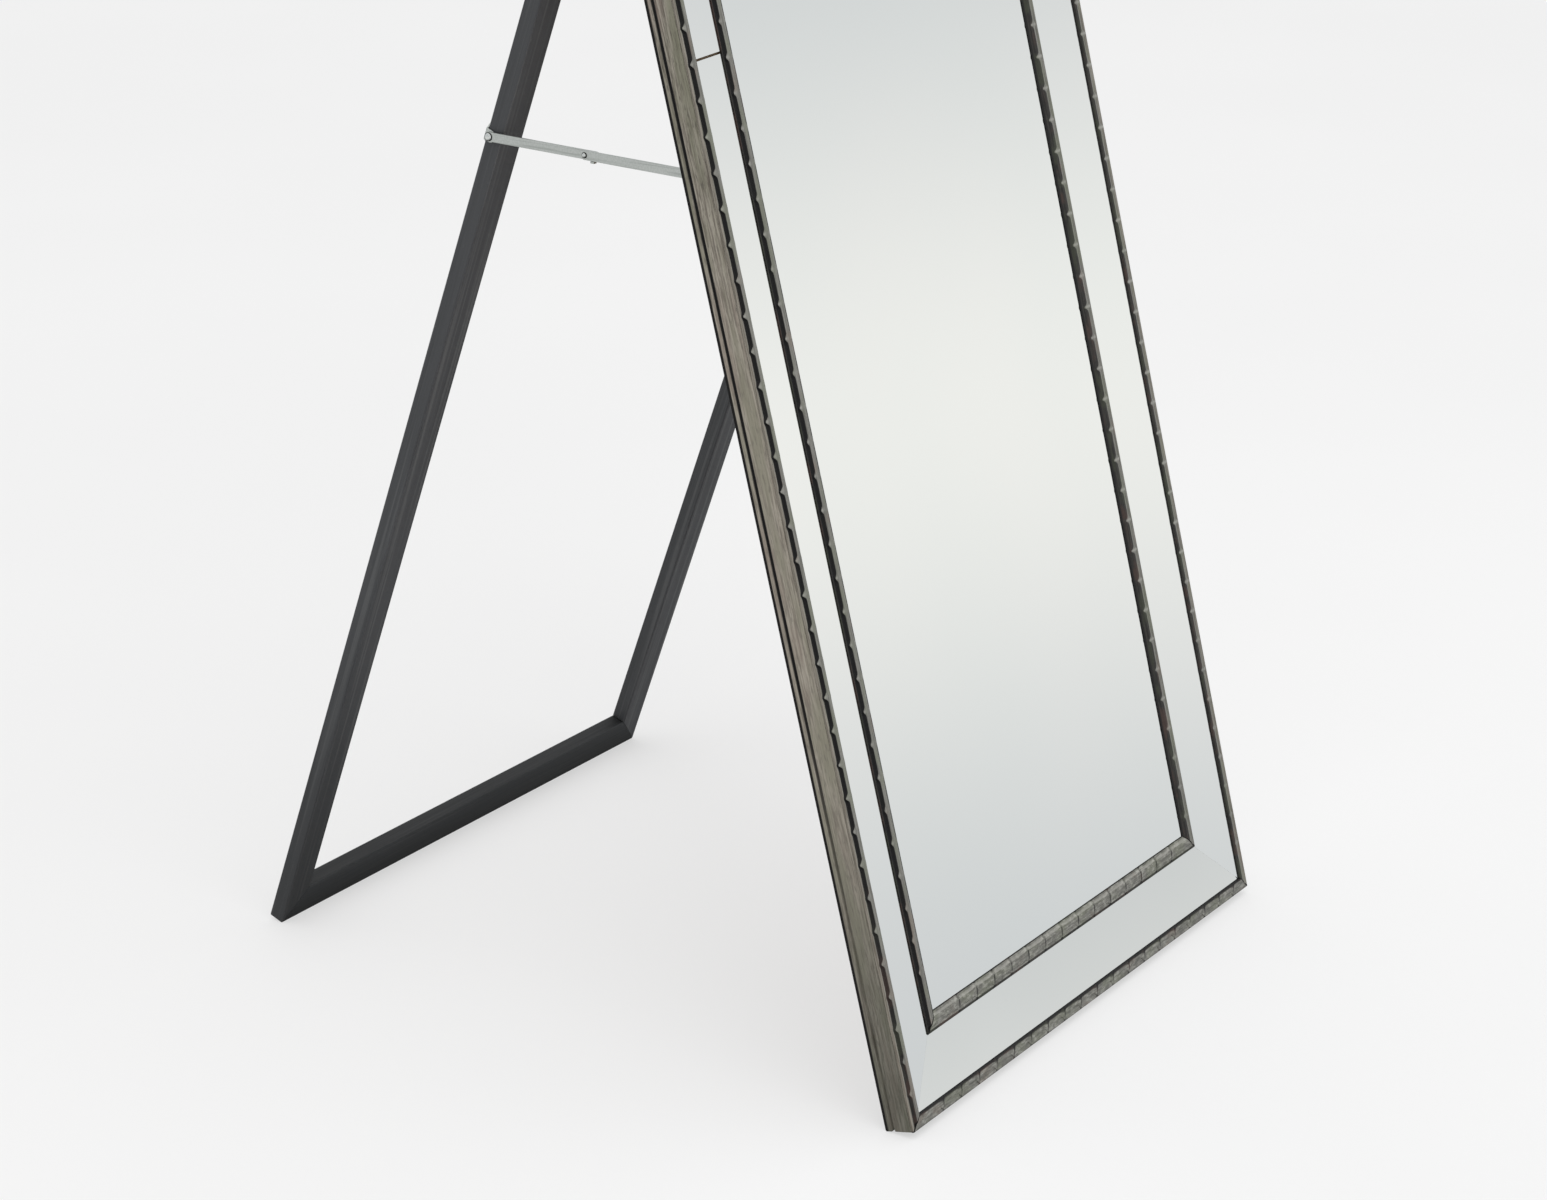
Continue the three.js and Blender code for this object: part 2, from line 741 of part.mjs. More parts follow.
// Hinges.
for (const [side, x] of hingeSides) {
  const onSide = (s) => s.side === side;
  add(mirrorGroup, `hinge_${side}_mirror_leaf`, cut(
    hingeLeaf(x, -backRecess, 1, pinHeight, true),
    mirrorHingeScrews.filter(onSide).map((s) => drive(screwHole, s, mirrorHingeFace, 1)),
  ), zincSteel());
  add(easelGroup, `hinge_${side}_easel_leaf`, cut(
    hingeLeaf(x, 0, -1, pinReach, false),
    easelHingeScrews.filter(onSide).map((s) => drive(screwHole, s, easelHingeFace, -1)),
  ), zincSteel());
  add(mirrorGroup, `hinge_${side}_pin`, hingePin(x, -pinDepth, pinHeight), zincSteel());
}
for (const s of mirrorHingeScrews) {
  add(mirrorGroup, `hinge_mirror_screw_${s.name}`, drive(screw, s, mirrorHingeFace, 1), zincSteel());
}
for (const s of easelHingeScrews) {
  add(easelGroup, `hinge_easel_screw_${s.name}`, drive(screw, s, easelHingeFace, -1), zincSteel());
}

// Stay brackets, their screws, the links and the rivets.
add(mirrorGroup, 'stay_mirror_bracket', cut(
  angleBracket(-backRecess, 1, mirrorEarOuter, -mirrorPivotDepth, mirrorPivotHeight),
  mirrorBracketScrews.map((s) => drive(screwHole, s, mirrorBracketFace, 1)),
), zincSteel());
add(easelGroup, 'stay_leg_bracket', cut(
  angleBracket(easelThickness, 1, legEarOuter, legPivotDepth, legPivotHeight),
  legBracketScrews.map((s) => drive(screwHole, s, legBracketFace, 1)),
), zincSteel());
for (const s of mirrorBracketScrews) {
  add(mirrorGroup, `stay_mirror_screw_${s.name}`, drive(screw, s, mirrorBracketFace, 1), zincSteel());
}
for (const s of legBracketScrews) {
  add(easelGroup, `stay_leg_screw_${s.name}`, drive(screw, s, legBracketFace, 1), zincSteel());
}
add(stayGroup, 'stay_rear_link', rearLink(), zincSteel());
add(stayGroup, 'stay_front_link', frontLink(), zincSteel());
const linkFace = (inner) => -(inner + stayThickness + seatGap);
const stayRivets = {
  stay_leg_rivet: [legPivot, endRivetHead, linkFace(rearLinkInner), -legSide + seatGap / 2, true],
  stay_mirror_rivet: [
    mirrorPivot, endRivetHead, linkFace(frontLinkInner), -rearLinkInner + seatGap, true,
  ],
  stay_middle_rivet: [midPivot, midRivetHead, linkFace(frontLinkInner), -frontLinkInner, false],
  stay_middle_rivet_tail: [
    midPivot, midRivetHead, -rearLinkInner + seatGap, -rearLinkInner - stayThickness, false,
  ],
};
for (const [name, place] of Object.entries(stayRivets)) {
  add(stayGroup, name, rivet(...place), zincSteel());
}

// The assembly stands on the floor, with the origin under the middle of its outline.
const mirror = new THREE.Group();
mirror.add(mirrorGroup, easelGroup, stayGroup);
mirror.updateMatrixWorld(true);
const outline = new THREE.Box3().setFromObject(mirror, true);
mirror.position.set(0, -(outline.min.y + outline.max.y) / 2, -outline.min.z);
mirror.updateMatrixWorld(true);

export default mirror;
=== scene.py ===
"""Leaning floor mirror: the looks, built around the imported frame.

The mirror is a narrow outer frame, a sloping border of mirror glass between two carved mouldings
and a centre pane. It hangs on a folding easel with two butt hinges and a two-link steel stay.
Sizes inside the classes are in millimetres, and everything that reaches Blender is in metres.
"""
import logging
import math
from dataclasses import dataclass
from enum import Enum

import bpy
import numpy as np
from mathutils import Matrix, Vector


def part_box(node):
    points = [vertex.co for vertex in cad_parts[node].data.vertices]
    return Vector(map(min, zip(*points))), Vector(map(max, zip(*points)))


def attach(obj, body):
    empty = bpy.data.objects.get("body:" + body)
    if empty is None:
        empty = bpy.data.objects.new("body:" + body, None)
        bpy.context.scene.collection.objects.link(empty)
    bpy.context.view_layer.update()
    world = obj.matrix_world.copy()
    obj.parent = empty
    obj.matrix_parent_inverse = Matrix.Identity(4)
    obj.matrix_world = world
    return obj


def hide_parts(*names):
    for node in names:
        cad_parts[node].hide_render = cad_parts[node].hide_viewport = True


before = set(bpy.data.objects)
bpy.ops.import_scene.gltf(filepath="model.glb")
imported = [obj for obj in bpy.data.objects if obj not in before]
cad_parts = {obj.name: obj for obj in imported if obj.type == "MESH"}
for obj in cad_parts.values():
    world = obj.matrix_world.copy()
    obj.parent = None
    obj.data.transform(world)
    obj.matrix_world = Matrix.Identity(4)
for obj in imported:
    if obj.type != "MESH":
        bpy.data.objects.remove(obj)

logging.basicConfig(level=logging.INFO, format="%(message)s")
log = logging.getLogger("mirror")

MM = 0.001
# Loose triangles closer than this are one skin, and a bend sharper than the angle is an arris.
WELD_REACH = 0.005 * MM
ARRIS_ANGLE = math.radians(32)
Socket = bpy.types.NodeSocket


# ------------------------------------------------------------------ shared helpers

def srgb(code: str) -> tuple[float, float, float, float]:
    """Turns a colour as the eye names it into what the renderer adds up.

    Args:
        code: six hex digits, sRGB.

    Returns:
        Linear red, green, blue and alpha.
    """
    parts = [int(code[i:i + 2], 16) / 255 for i in (0, 2, 4)]
    linear = [p / 12.92 if p <= 0.04045 else ((p + 0.055) / 1.055) ** 2.4 for p in parts]
    return (*linear, 1.0)


def add_node(tree: bpy.types.NodeTree, kind: str, inputs: dict | None = None,
             **settings) -> bpy.types.Node:
    """Adds a node and fills its sockets.

    Args:
        tree: the node tree that takes the node.
        kind: the node's Blender type.
        inputs: socket name or number to a value, or to an output socket to link from.
        **settings: the node's own properties.

    Returns:
        The new node.
    """
    node = tree.nodes.new(kind)
    for name, value in settings.items():
        setattr(node, name, value)
    for key, value in (inputs or {}).items():
        if isinstance(value, Socket):
            tree.links.new(value, node.inputs[key])
        else:
            node.inputs[key].default_value = value
    return node


def closed_tube(rings: np.ndarray) -> tuple[np.ndarray, list]:
    """Joins rings of points into one closed skin.

    Point (i, j) is ring i's point j. Quad (i, j) runs (i, j), (i, j+1), (i+1, j+1), (i+1, j),
    with j wrapping round, and each end is closed by one many-sided face. The whole skin is
    turned over if its signed volume, the sum of p0 . (p1 x p2) / 6 over its triangles, is
    negative, so that its faces look outward.

    Args:
        rings: array of shape (rings, points, 3), in metres.

    Returns:
        The vertices, and the faces as lists of vertex numbers.
    """
    count, around, _ = rings.shape
    verts = rings.reshape(-1, 3)
    i, j = np.meshgrid(np.arange(count - 1), np.arange(around), indexing="ij")
    here, side = i * around + j, i * around + (j + 1) % around
    quads = np.stack([here, side, side + around, here + around], -1).reshape(-1, 4)
    centre = verts.mean(0)
    p = verts[quads] - centre
    volume = (np.einsum("ij,ij->i", p[:, 0], np.cross(p[:, 1], p[:, 2])).sum()
              + np.einsum("ij,ij->i", p[:, 0], np.cross(p[:, 2], p[:, 3])).sum())
    first, last = np.arange(around)[::-1], np.arange(around) + (count - 1) * around
    if volume < 0:
        quads, first, last = quads[:, ::-1], first[::-1], last[::-1]
    return verts, [*quads.tolist(), first.tolist(), last.tolist()]


def new_piece(name: str, rings: np.ndarray, material: bpy.types.Material,
              attributes: dict[str, np.ndarray] | None = None,
              smooth: bool = True) -> bpy.types.Object:
    """Makes an object from rings of points, with crisp ends.

    Args:
        name: the piece's name.
        rings: array of shape (rings, points, 3), in metres.
        material: what it is finished in.
        attributes: values for each point, by attribute name.
        smooth: whether the skin between the ends is shaded as a curved one.

    Returns:
        The new object, linked to the scene.
    """
    verts, faces = closed_tube(rings)
    mesh = bpy.data.meshes.new(name)
    mesh.from_pydata(verts, [], faces)
    curved = np.full(len(mesh.polygons), smooth)
    curved[-2:] = False
    mesh.polygons.foreach_set("use_smooth", curved)
    for key, values in (attributes or {}).items():
        layer = mesh.attributes.new(key, "FLOAT", "POINT")
        layer.data.foreach_set("value", np.asarray(values, np.float32).ravel())
    mesh.materials.append(material)
    mesh.update()
    piece = bpy.data.objects.new(name, mesh)
    bpy.context.scene.collection.objects.link(piece)
    return piece


def stand_in(node: str, body: str, rings: np.ndarray, material: bpy.types.Material,
             attributes: dict[str, np.ndarray] | None = None, smooth: bool = True,
             prefix: str = "fine") -> None:
    """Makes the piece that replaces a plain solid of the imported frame.

    Args:
        node: the solid's name.
        body: what it moves with.
        rings: its points, as new_piece takes them.
        material: what it is finished in.
        attributes: values for each point, by attribute name.
        smooth: whether its skin is shaded as a curved one.
        prefix: what its name starts with.
    """
    piece = new_piece(f"{prefix}_{node}", rings, material, attributes, smooth)
    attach(piece, body)
    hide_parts(node)
    log.info("%s: %d points", piece.name, len(piece.data.vertices))


def soften(node: str, width: float) -> None:
    """Rounds the arrises of a solid that keeps its own mesh.

    Args:
        node: the solid's name.
        width: how far the rounding reaches from the arris, in mm.
    """
    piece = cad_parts[node]
    weld = piece.modifiers.new("one skin", "WELD")
    weld.merge_threshold = WELD_REACH
    bevel = piece.modifiers.new("worn arrises", "BEVEL")
    bevel.width = width * MM
    bevel.segments = 2
    bevel.limit_method = "ANGLE"
    bevel.angle_limit = ARRIS_ANGLE


def dress(node: str, material: bpy.types.Material) -> None:
    """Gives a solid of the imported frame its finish."""
    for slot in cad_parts[node].material_slots:
        slot.material = material


# ------------------------------------------------------------------ where things are

class Side(Enum):
    """The four bars of a rectangular frame, as seen from the front."""

    LEFT = "left"
    RIGHT = "right"
    BOTTOM = "bottom"
    TOP = "top"

    @property
    def upright(self) -> bool:
        """Whether the bar is one of the two long ones."""
        return self in (Side.LEFT, Side.RIGHT)


def leaning_points(lean: float, origin: tuple[float, float], x, up, depth) -> np.ndarray:
    """Puts points of a leaning frame into the shared frame.

    With s the sign of the lean, y and z are
    origin + (up sin(lean) - s depth cos(lean), up cos(lean) + s depth sin(lean)). Depth runs
    forwards on the mirror, which leans back, and backwards on the easel, which leans forward.

    Args:
        lean: in radians.
        origin: Y and Z of the frame's foot in mm.
        x: mm along the width.
        up: mm up the frame.
        depth: mm from its reference face.

    Returns:
        An array of points in metres.
    """
    x, up, depth = np.broadcast_arrays(x, up, depth)
    sign = math.copysign(1.0, lean)
    y = origin[0] + up * math.sin(lean) - sign * depth * math.cos(lean)
    z = origin[1] + up * math.cos(lean) + sign * depth * math.sin(lean)
    return np.stack([x, y, z], -1) * MM


@dataclass(frozen=True)
class MirrorPlane:
    """The leaning mirror's own frame: inset from the outer edge, depth from the rear edge."""

    width: float = 600.0
    height: float = 1815.0
    lean: float = math.radians(14.38)
    origin: tuple[float, float] = (-339.225, -0.298)

    def length(self, side: Side) -> float:
        """Gives a bar's outer length in mm."""
        return self.height if side.upright else self.width

    def place(self, side: Side, inset, depth, along) -> np.ndarray:
        """Puts points of a bar into the shared frame.

        Args:
            side: which bar.
            inset: mm inwards from the mirror's outer edge.
            depth: mm forwards from its rear edge.
            along: mm along the bar, from the left or from the foot.

        Returns:
            An array of points in metres.
        """
        half = self.width / 2
        x, up = {
            Side.LEFT: (inset - half, along),
            Side.RIGHT: (half - inset, along),
            Side.BOTTOM: (along - half, inset),
            Side.TOP: (along - half, self.height - inset),
        }[side]
        return leaning_points(self.lean, self.origin, x, up, depth)


PLANE = MirrorPlane()
EASEL_LEAN = math.radians(20.14)
# The easel's reference foot stands this far behind the mirror's, in mm.
FOOT_SPREAD = 693.6
EASEL_FOOT = (FOOT_SPREAD + PLANE.origin[0], PLANE.origin[1])


# ------------------------------------------------------------------ finishes

class Patterns:
    """The sums and patterns that finishes and the room's light are made of, in one node tree."""

    def __init__(self, tree: bpy.types.NodeTree) -> None:
        """Takes a tree and empties it."""
        self.tree = tree
        tree.nodes.clear()

    def noise(self, place: Socket, size: tuple[float, float, float],
              detail: float = 3.0, roughness: float = 0.55) -> Socket:
        """Cloudy pattern whose patches have a real size.

        Args:
            place: where it is looked up.
            size: a patch's size along X, Y and Z in mm.
            detail: octaves of finer cloud.
            roughness: how strong these are.

        Returns:
            The pattern, from 0 to 1 around 0.5.
        """
        scaled = add_node(self.tree, "ShaderNodeVectorMath", {
            0: place, 1: tuple(1 / (s * MM) for s in size)}, operation="MULTIPLY")
        return add_node(self.tree, "ShaderNodeTexNoise", {
            "Vector": scaled.outputs["Vector"], "Scale": 1.0, "Detail": detail,
            "Roughness": roughness}).outputs["Fac"]

    def step(self, value: Socket, low: float, high: float, bottom: float = 0.0,
             top: float = 1.0) -> Socket:
        """Goes smoothly from `bottom` where the value is `low` to `top` where it is `high`."""
        return add_node(self.tree, "ShaderNodeMapRange", {
            "Value": value, "From Min": low, "From Max": high, "To Min": bottom, "To Max": top,
        }, interpolation_type="SMOOTHSTEP").outputs["Result"]

    def math(self, operation: str, a, b=0.0) -> Socket:
        """Works out one sum of numbers or sockets, by Blender's name for it."""
        return add_node(self.tree, "ShaderNodeMath", {0: a, 1: b},
                        operation=operation).outputs["Value"]

    def axis(self, vector: Socket, name: str) -> Socket:
        """Gives a vector's X, Y or Z."""
        return add_node(self.tree, "ShaderNodeSeparateXYZ", {"Vector": vector}).outputs[name]

    def carried(self, name: str) -> Socket:
        """Gives the value of this name that each point of the piece carries."""
        return add_node(self.tree, "ShaderNodeAttribute", attribute_name=name).outputs["Fac"]

    def mix(self, share, under, over) -> Socket:
        """Lays one colour over another, as much of it as `share` says."""
        return add_node(self.tree, "ShaderNodeMix", {0: share, 6: under, 7: over},
                        data_type="RGBA").outputs[2]

    def tones(self, pattern: Socket, low: float, high: float, first: str, second: str) -> Socket:
        """Goes from one tone to another as a pattern goes from `low` to `high`."""
        return self.mix(self.step(pattern, low, high), srgb(first), srgb(second))

    def lay(self, paint: Socket, pattern: Socket, low: float, high: float, share: float,
            tone: str) -> Socket:
        """Lays a tone over paint: none where the pattern is `low`, `share` where it is `high`."""
        return self.mix(self.step(pattern, low, high, 0.0, share), paint, srgb(tone))

    def shade(self, share, under: Socket, over: Socket) -> Socket:
        """Mixes two shaders, with as much of the second as `share` says."""
        return add_node(self.tree, "ShaderNodeMixShader", {
            0: share, 1: under, 2: over}).outputs["Shader"]


class Finish(Patterns):
    """Base of every finish: a Principled surface and where its patterns are looked up."""

    def __init__(self, name: str, roughness: float, metallic: float = 0.0) -> None:
        """Starts a material with one surface shader.

        Args:
            name: the finish's name.
            roughness: its middle roughness.
            metallic: 1 for bare metal and silvering, 0 for the rest.
        """
        self.material = bpy.data.materials.new(name)
        self.material.use_nodes = True
        super().__init__(self.material.node_tree)
        self.surface = add_node(self.tree, "ShaderNodeBsdfPrincipled", {
            "Roughness": roughness, "Metallic": metallic})
        self.output = add_node(self.tree, "ShaderNodeOutputMaterial", {
            "Surface": self.surface.outputs["BSDF"]})

    def place(self, lean: float) -> Socket:
        """Gives object coordinates in metres, turned so that Z runs up a leaning frame."""
        here = add_node(self.tree, "ShaderNodeTexCoord").outputs["Object"]
        return add_node(self.tree, "ShaderNodeVectorRotate", {
            "Vector": here, "Angle": lean}, rotation_type="X_AXIS").outputs["Vector"]

    def bump(self, height: Socket, distance: float, strength: float) -> None:
        """Raises the surface by a pattern, `distance` mm from its 0 to its 1."""
        relief = add_node(self.tree, "ShaderNodeBump", {
            "Height": height, "Distance": distance * MM, "Strength": strength})
        self.set("Normal", relief.outputs["Normal"])

    def set(self, name: str, value: Socket) -> None:
        """Links a socket of the surface to what drives it."""
        self.tree.links.new(value, self.surface.inputs[name])


def grain_size(upright: bool, across: float, length: float) -> tuple[float, float, float]:
    """Gives the size of a wood fibre's streak along X, Y and Z, from its width and length."""
    return (across, across, length) if upright else (length, across, across)


class AgedFrameWood(Finish):
    """Grey-brown milk paint over wood, waxed and rubbed.

    Made from two paint tones streaked along the bar, greenish and brown patches a hand wide,
    painted shade in the groove, black along the rear edge, a band of painted light at mid height
    and painted shade, with some soiling, towards the floor. It gives the eye a dry, brushed old
    surface.
    Depths run forwards from the rear edge and heights up the mirror, in metres.
    """

    groove: float = 8.8 * MM
    # Painted shade in the groove, fading out towards the foot.
    groove_shade: tuple[float, float] = (1.2 * MM, 2.0 * MM)
    groove_shade_fade: tuple[float, float] = (0.02, 0.32)
    # Black along the rear edge.
    rear_black: tuple[float, float] = (3.4 * MM, 4.3 * MM)
    # Painted shade, with some soiling, towards the floor.
    foot_shade_and_soil: tuple[float, float] = (-0.08, 0.3)
    # A band of painted light at mid height.
    painted_light_height: float = 0.36
    painted_light_reach: tuple[float, float] = (0.2, 0.42)

    def __init__(self, side: Side) -> None:
        """Makes the paint for one bar.

        Args:
            side: the bar, which sets the grain's direction.
        """
        super().__init__(f"aged frame wood {side.value}", 0.58)
        place, up = self.place(PLANE.lean), side.upright
        grain = self.noise(place, grain_size(up, 2.0, 34), 4, 0.7)
        pores = self.noise(place, grain_size(up, 1.5, 10), 2, 0.5)
        patches = self.noise(place, grain_size(up, 14, 90), 2)
        worn = self.noise(place, grain_size(up, 4, 20), 3)
        paint = self.tones(grain, 0.36, 0.64, "544c42", "989286")
        paint = self.lay(paint, patches, 0.4, 0.62, 0.7, "6e6e5b")
        paint = self.lay(paint, patches, 0.42, 0.3, 0.45, "7a6b62")
        paint = self.lay(paint, worn, 0.58, 0.75, 0.3, "a39c90")
        paint = self.lay(paint, pores, 0.56, 0.68, 0.6, "3f3a33")
        # The turned Y axis measures backwards, and the rear edge lies at `rear` on it, in mm.
        rear = PLANE.origin[0] * math.cos(PLANE.lean) - PLANE.origin[1] * math.sin(PLANE.lean)
        height = self.axis(place, "Z")
        depth = self.math("SUBTRACT", rear * MM, self.axis(place, "Y"))
        # Painted shade in the groove, fading out towards the foot.
        off = self.math("ABSOLUTE", self.math("SUBTRACT", depth, self.groove))
        groove_shade_mask = self.math("MULTIPLY", self.step(off, *self.groove_shade, 1.0, 0.0),
                         self.step(height, *self.groove_shade_fade))
        # Black along the rear edge.
        edge = self.step(depth, *self.rear_black, 1.0, 0.0)
        # A band of painted light at mid height.
        middle = self.math("ABSOLUTE", self.math("SUBTRACT", height, self.painted_light_height))
        paint = self.mix(self.step(middle, *self.painted_light_reach, 0.25, 0.0), paint, srgb("a59d8f"))
        # Painted shade, with some soiling, towards the floor.
        paint = self.mix(self.step(height, *self.foot_shade_and_soil, 0.65, 0.0), paint, srgb("45463b"))
        paint = self.mix(self.math("MAXIMUM", groove_shade_mask, edge), paint, srgb("0f0e0d"))
        self.set("Base Color", paint)
        self.set("Roughness", self.math("MAXIMUM", self.step(worn, 0.3, 0.7, 0.66, 0.48), edge))
        self.bump(grain, 0.16, 0.7)


class RubbedCarving(Finish):
    """Antique silver paint over a near-black ground, rubbed back on what stands proud.

    Made from a value that each point of the moulding carries, part rubbed paint and part painted
    light and shade: 1 is bare ground, 0 is silver, above 1 is near black, for painted shade and
    the dark joints, and below 0 is a painted highlight. Fine scratches break it up, with brown
    and green patches. It gives bright crests, painted glints on the knots and black hollows,
    partly painted shade.
    """

    def __init__(self, side: Side) -> None:
        """Makes the paint for one bar.

        Args:
            side: the bar, which sets the direction of its scratches.
        """
        super().__init__(f"rubbed carving {side.value}", 0.5)
        place = self.place(PLANE.lean)
        streak = self.noise(place, grain_size(side.upright, 1.2, 30), 4, 0.6)
        patches = self.noise(place, grain_size(side.upright, 16, 30), 2)
        speckle = self.noise(place, (1.6, 1.6, 1.6), 3, 0.65)
        silver = self.tones(streak, 0.32, 0.68, "5a5953", "7d7c76")
        silver = self.lay(silver, patches, 0.45, 0.62, 0.6, "6c6f5f")
        silver = self.lay(silver, patches, 0.42, 0.3, 0.5, "766b60")
        silver = self.lay(silver, speckle, 0.58, 0.7, 0.5, "47453f")
        if not side.upright:
            worn = self.noise(place, (7, 3, 3), 3, 0.6)
            silver = self.lay(silver, worn, 0.5, 0.66, 0.6, "4a4a43")
            silver = self.lay(silver, worn, 0.48, 0.34, 0.6, "9a9a92")
        rubbing_and_painted_light = self.carried("rubbing_and_painted_light")
        # Below 0 the silver turns bright: a painted highlight.
        silver = self.lay(silver, rubbing_and_painted_light, -0.05, -0.6, 0.9, "aeada6")
        brown = self.tones(streak, 0.34, 0.66, "5f584d", "8a8479")
        silver = self.mix(self.carried("side_paint"), silver, brown)
        ground = self.tones(streak, 0.4, 0.65, "1d1c1a", "34322e")
        ground = self.lay(ground, patches, 0.5, 0.62, 0.8, "33362a")
        ground = self.lay(ground, patches, 0.46, 0.34, 0.8, "40302a")
        # Above 1 the ground turns near black: painted shade, and the dark joints.
        ground = self.lay(ground, rubbing_and_painted_light, 1.0, 1.45, 1.0, "0d0c0c")
        ragged = self.math("ADD", rubbing_and_painted_light,
                           self.math("MULTIPLY", self.math("SUBTRACT", speckle, 0.5), 0.5))
        self.set("Base Color", self.mix(self.step(ragged, 0.25, 0.85), silver, ground))
        self.set("Roughness", self.step(ragged, 0.0, 1.0, 0.42, 0.7))
        self.bump(self.math("ADD", streak, speckle), 0.08, 0.5)


class DarkEaselWood(Finish):
    """Grey-black water stain on planed pine, left matt.

    Made from fibres drawn along the bar and a slow change of tone, with light scuffs, and painted
    shade on the bars' sides and near the floor. It gives a charcoal bar whose straight grain
    shows only from close by.
    """

    def __init__(self, name: str, upright: bool, foot_reach: float, foot_share: float) -> None:
        """Makes the stain for one kind of bar.

        Args:
            name: the bar's name.
            upright: whether the bar is a leg.
            foot_reach: how far up the easel the painted shade at the foot reaches, in metres.
            foot_share: how dark that painted shade is at the floor, from 0 to 1.
        """
        super().__init__(f"dark easel wood {name}", 0.6)
        place = self.place(-EASEL_LEAN)
        fibre = self.noise(place, grain_size(upright, 1.0, 90), 4, 0.6)
        band = self.noise(place, grain_size(upright, 4.5, 400), 2)
        slow = self.noise(place, grain_size(upright, 20, 260), 2)
        scuff = self.noise(place, grain_size(upright, 3, 10), 3, 0.6)
        dark, light, wash, rub = (("393a3d", "4d4f52", "525356", "7b7c7c") if upright else
                                  ("1c1e20", "2a2d30", "303234", "46484a"))
        stain = self.tones(fibre, 0.3, 0.7, dark, light)
        stain = self.lay(stain, slow, 0.3, 0.7, 0.5, wash)
        stain = self.lay(stain, band, 0.5, 0.66, 0.32, rub)
        stain = self.lay(stain, scuff, 0.62, 0.8, 0.3, rub)
        # Painted shade darkens the legs' sides, the rails' upper and lower faces and the wood
        # near the floor.
        way, share = ("X", 0.4) if upright else ("Z", 0.65)
        facing = self.axis(add_node(self.tree, "ShaderNodeNewGeometry").outputs["Normal"], way)
        flank = self.step(self.math("ABSOLUTE", facing), 0.5, 0.9, 0, share)
        stain = self.mix(flank, stain, srgb("141516"))
        floor = -EASEL_FOOT[0] * math.sin(EASEL_LEAN) * MM
        foot = self.step(self.axis(place, "Z"), floor, floor + foot_reach, foot_share, 0.0)
        if upright:
            foot = self.math("MULTIPLY", foot, self.math("SUBTRACT", 1.0, flank))
        self.set("Base Color", self.mix(foot, stain, srgb("0e0f10")))
        self.set("Roughness", self.step(fibre, 0.3, 0.7, 0.52, 0.68))
        self.bump(fibre, 0.1, 0.6)


class SilveredGlass(Finish):
    """Silvered float glass.

    Made as a bright mirror with a faint long wave in it, as drawn glass has. It gives clean
    reflections that stay straight.
    """

    def __init__(self, name: str, pale: str, dim: str) -> None:
        """Makes the silvering.

        Args:
            name: the finish's name.
            pale: the silvering's lighter tint.
            dim: its darker tint.
        """
        super().__init__(name, 0.015, 1.0)
        wave = self.noise(self.place(PLANE.lean), (240, 240, 320), 1)
        self.set("Base Color", self.tones(wave, 0.3, 0.7, dim, pale))
        self.set("Roughness", self.step(wave, 0.3, 0.7, 0.012, 0.02))


class ZincPlate(Finish):
    """Bright zinc plating on pressed steel.

    Made from a pale metal with small crystals in its tone and roughness and fine rolling marks.
    It gives a soft grey shine, duller than chrome.
    """

    def __init__(self) -> None:
        """Makes the plating."""
        super().__init__("zinc plate", 0.36, 1.0)
        place = self.place(0.0)
        crystal = self.noise(place, (1.6, 1.6, 1.6), 3, 0.6)
        rolled = self.noise(place, (0.5, 8, 8), 2)
        streaks = self.noise(place, (4, 70, 1.6), 2)
        plate = self.tones(crystal, 0.35, 0.65, "c3c7c3", "d4d6d3")
        self.set("Base Color", self.lay(plate, streaks, 0.5, 0.66, 0.5, "a5a9a5"))
        self.set("Roughness", self.step(crystal, 0.3, 0.7, 0.3, 0.46))
        self.bump(self.math("ADD", crystal, rolled), 0.02, 0.5)


class RivetSteel(Finish):
    """Peened rivet heads, rubbed brighter than the plate round them.

    Made from a bright metal with small dents and a ring of painted shade where the head meets the
    plate. It gives a round glint, dark round its edge, on a duller plate.
    """

    def __init__(self) -> None:
        """Makes the steel."""
        super().__init__("rivet steel", 0.24, 1.0)
        dents = self.noise(self.place(0.0), (1.1, 1.1, 1.1), 2, 0.6)
        steel = self.tones(dents, 0.35, 0.65, "d6d9d6", "f2f3f1")
        ring_shade = self.carried("ring_shade")
        self.set("Base Color", self.mix(ring_shade, steel, srgb("4c4c4a")))
        self.set("Roughness", self.math("ADD", self.step(dents, 0.3, 0.7, 0.2, 0.32),
                                        self.math("MULTIPLY", ring_shade, 0.5)))
        self.bump(dents, 0.05, 0.6)


class Hardboard(Finish):
    """Bare brown hardboard and batten wood.

    Made from pressed fibre flecks at two sizes. It gives a matt, slightly hairy brown back.
    """

    def __init__(self) -> None:
        """Makes the board."""
        super().__init__("hardboard", 0.85)
        place = self.place(PLANE.lean)
        flecks = self.noise(place, (2.4, 2.4, 3.4), 5, 0.7)
        clouds = self.noise(place, (60, 60, 90), 2)
        brown = self.tones(flecks, 0.35, 0.65, "5c4a37", "7c6850")
        self.set("Base Color", self.lay(brown, clouds, 0.35, 0.65, 0.4, "6f5f4b"))
        self.bump(flecks, 0.15, 0.7)


# ------------------------------------------------------------------ studio

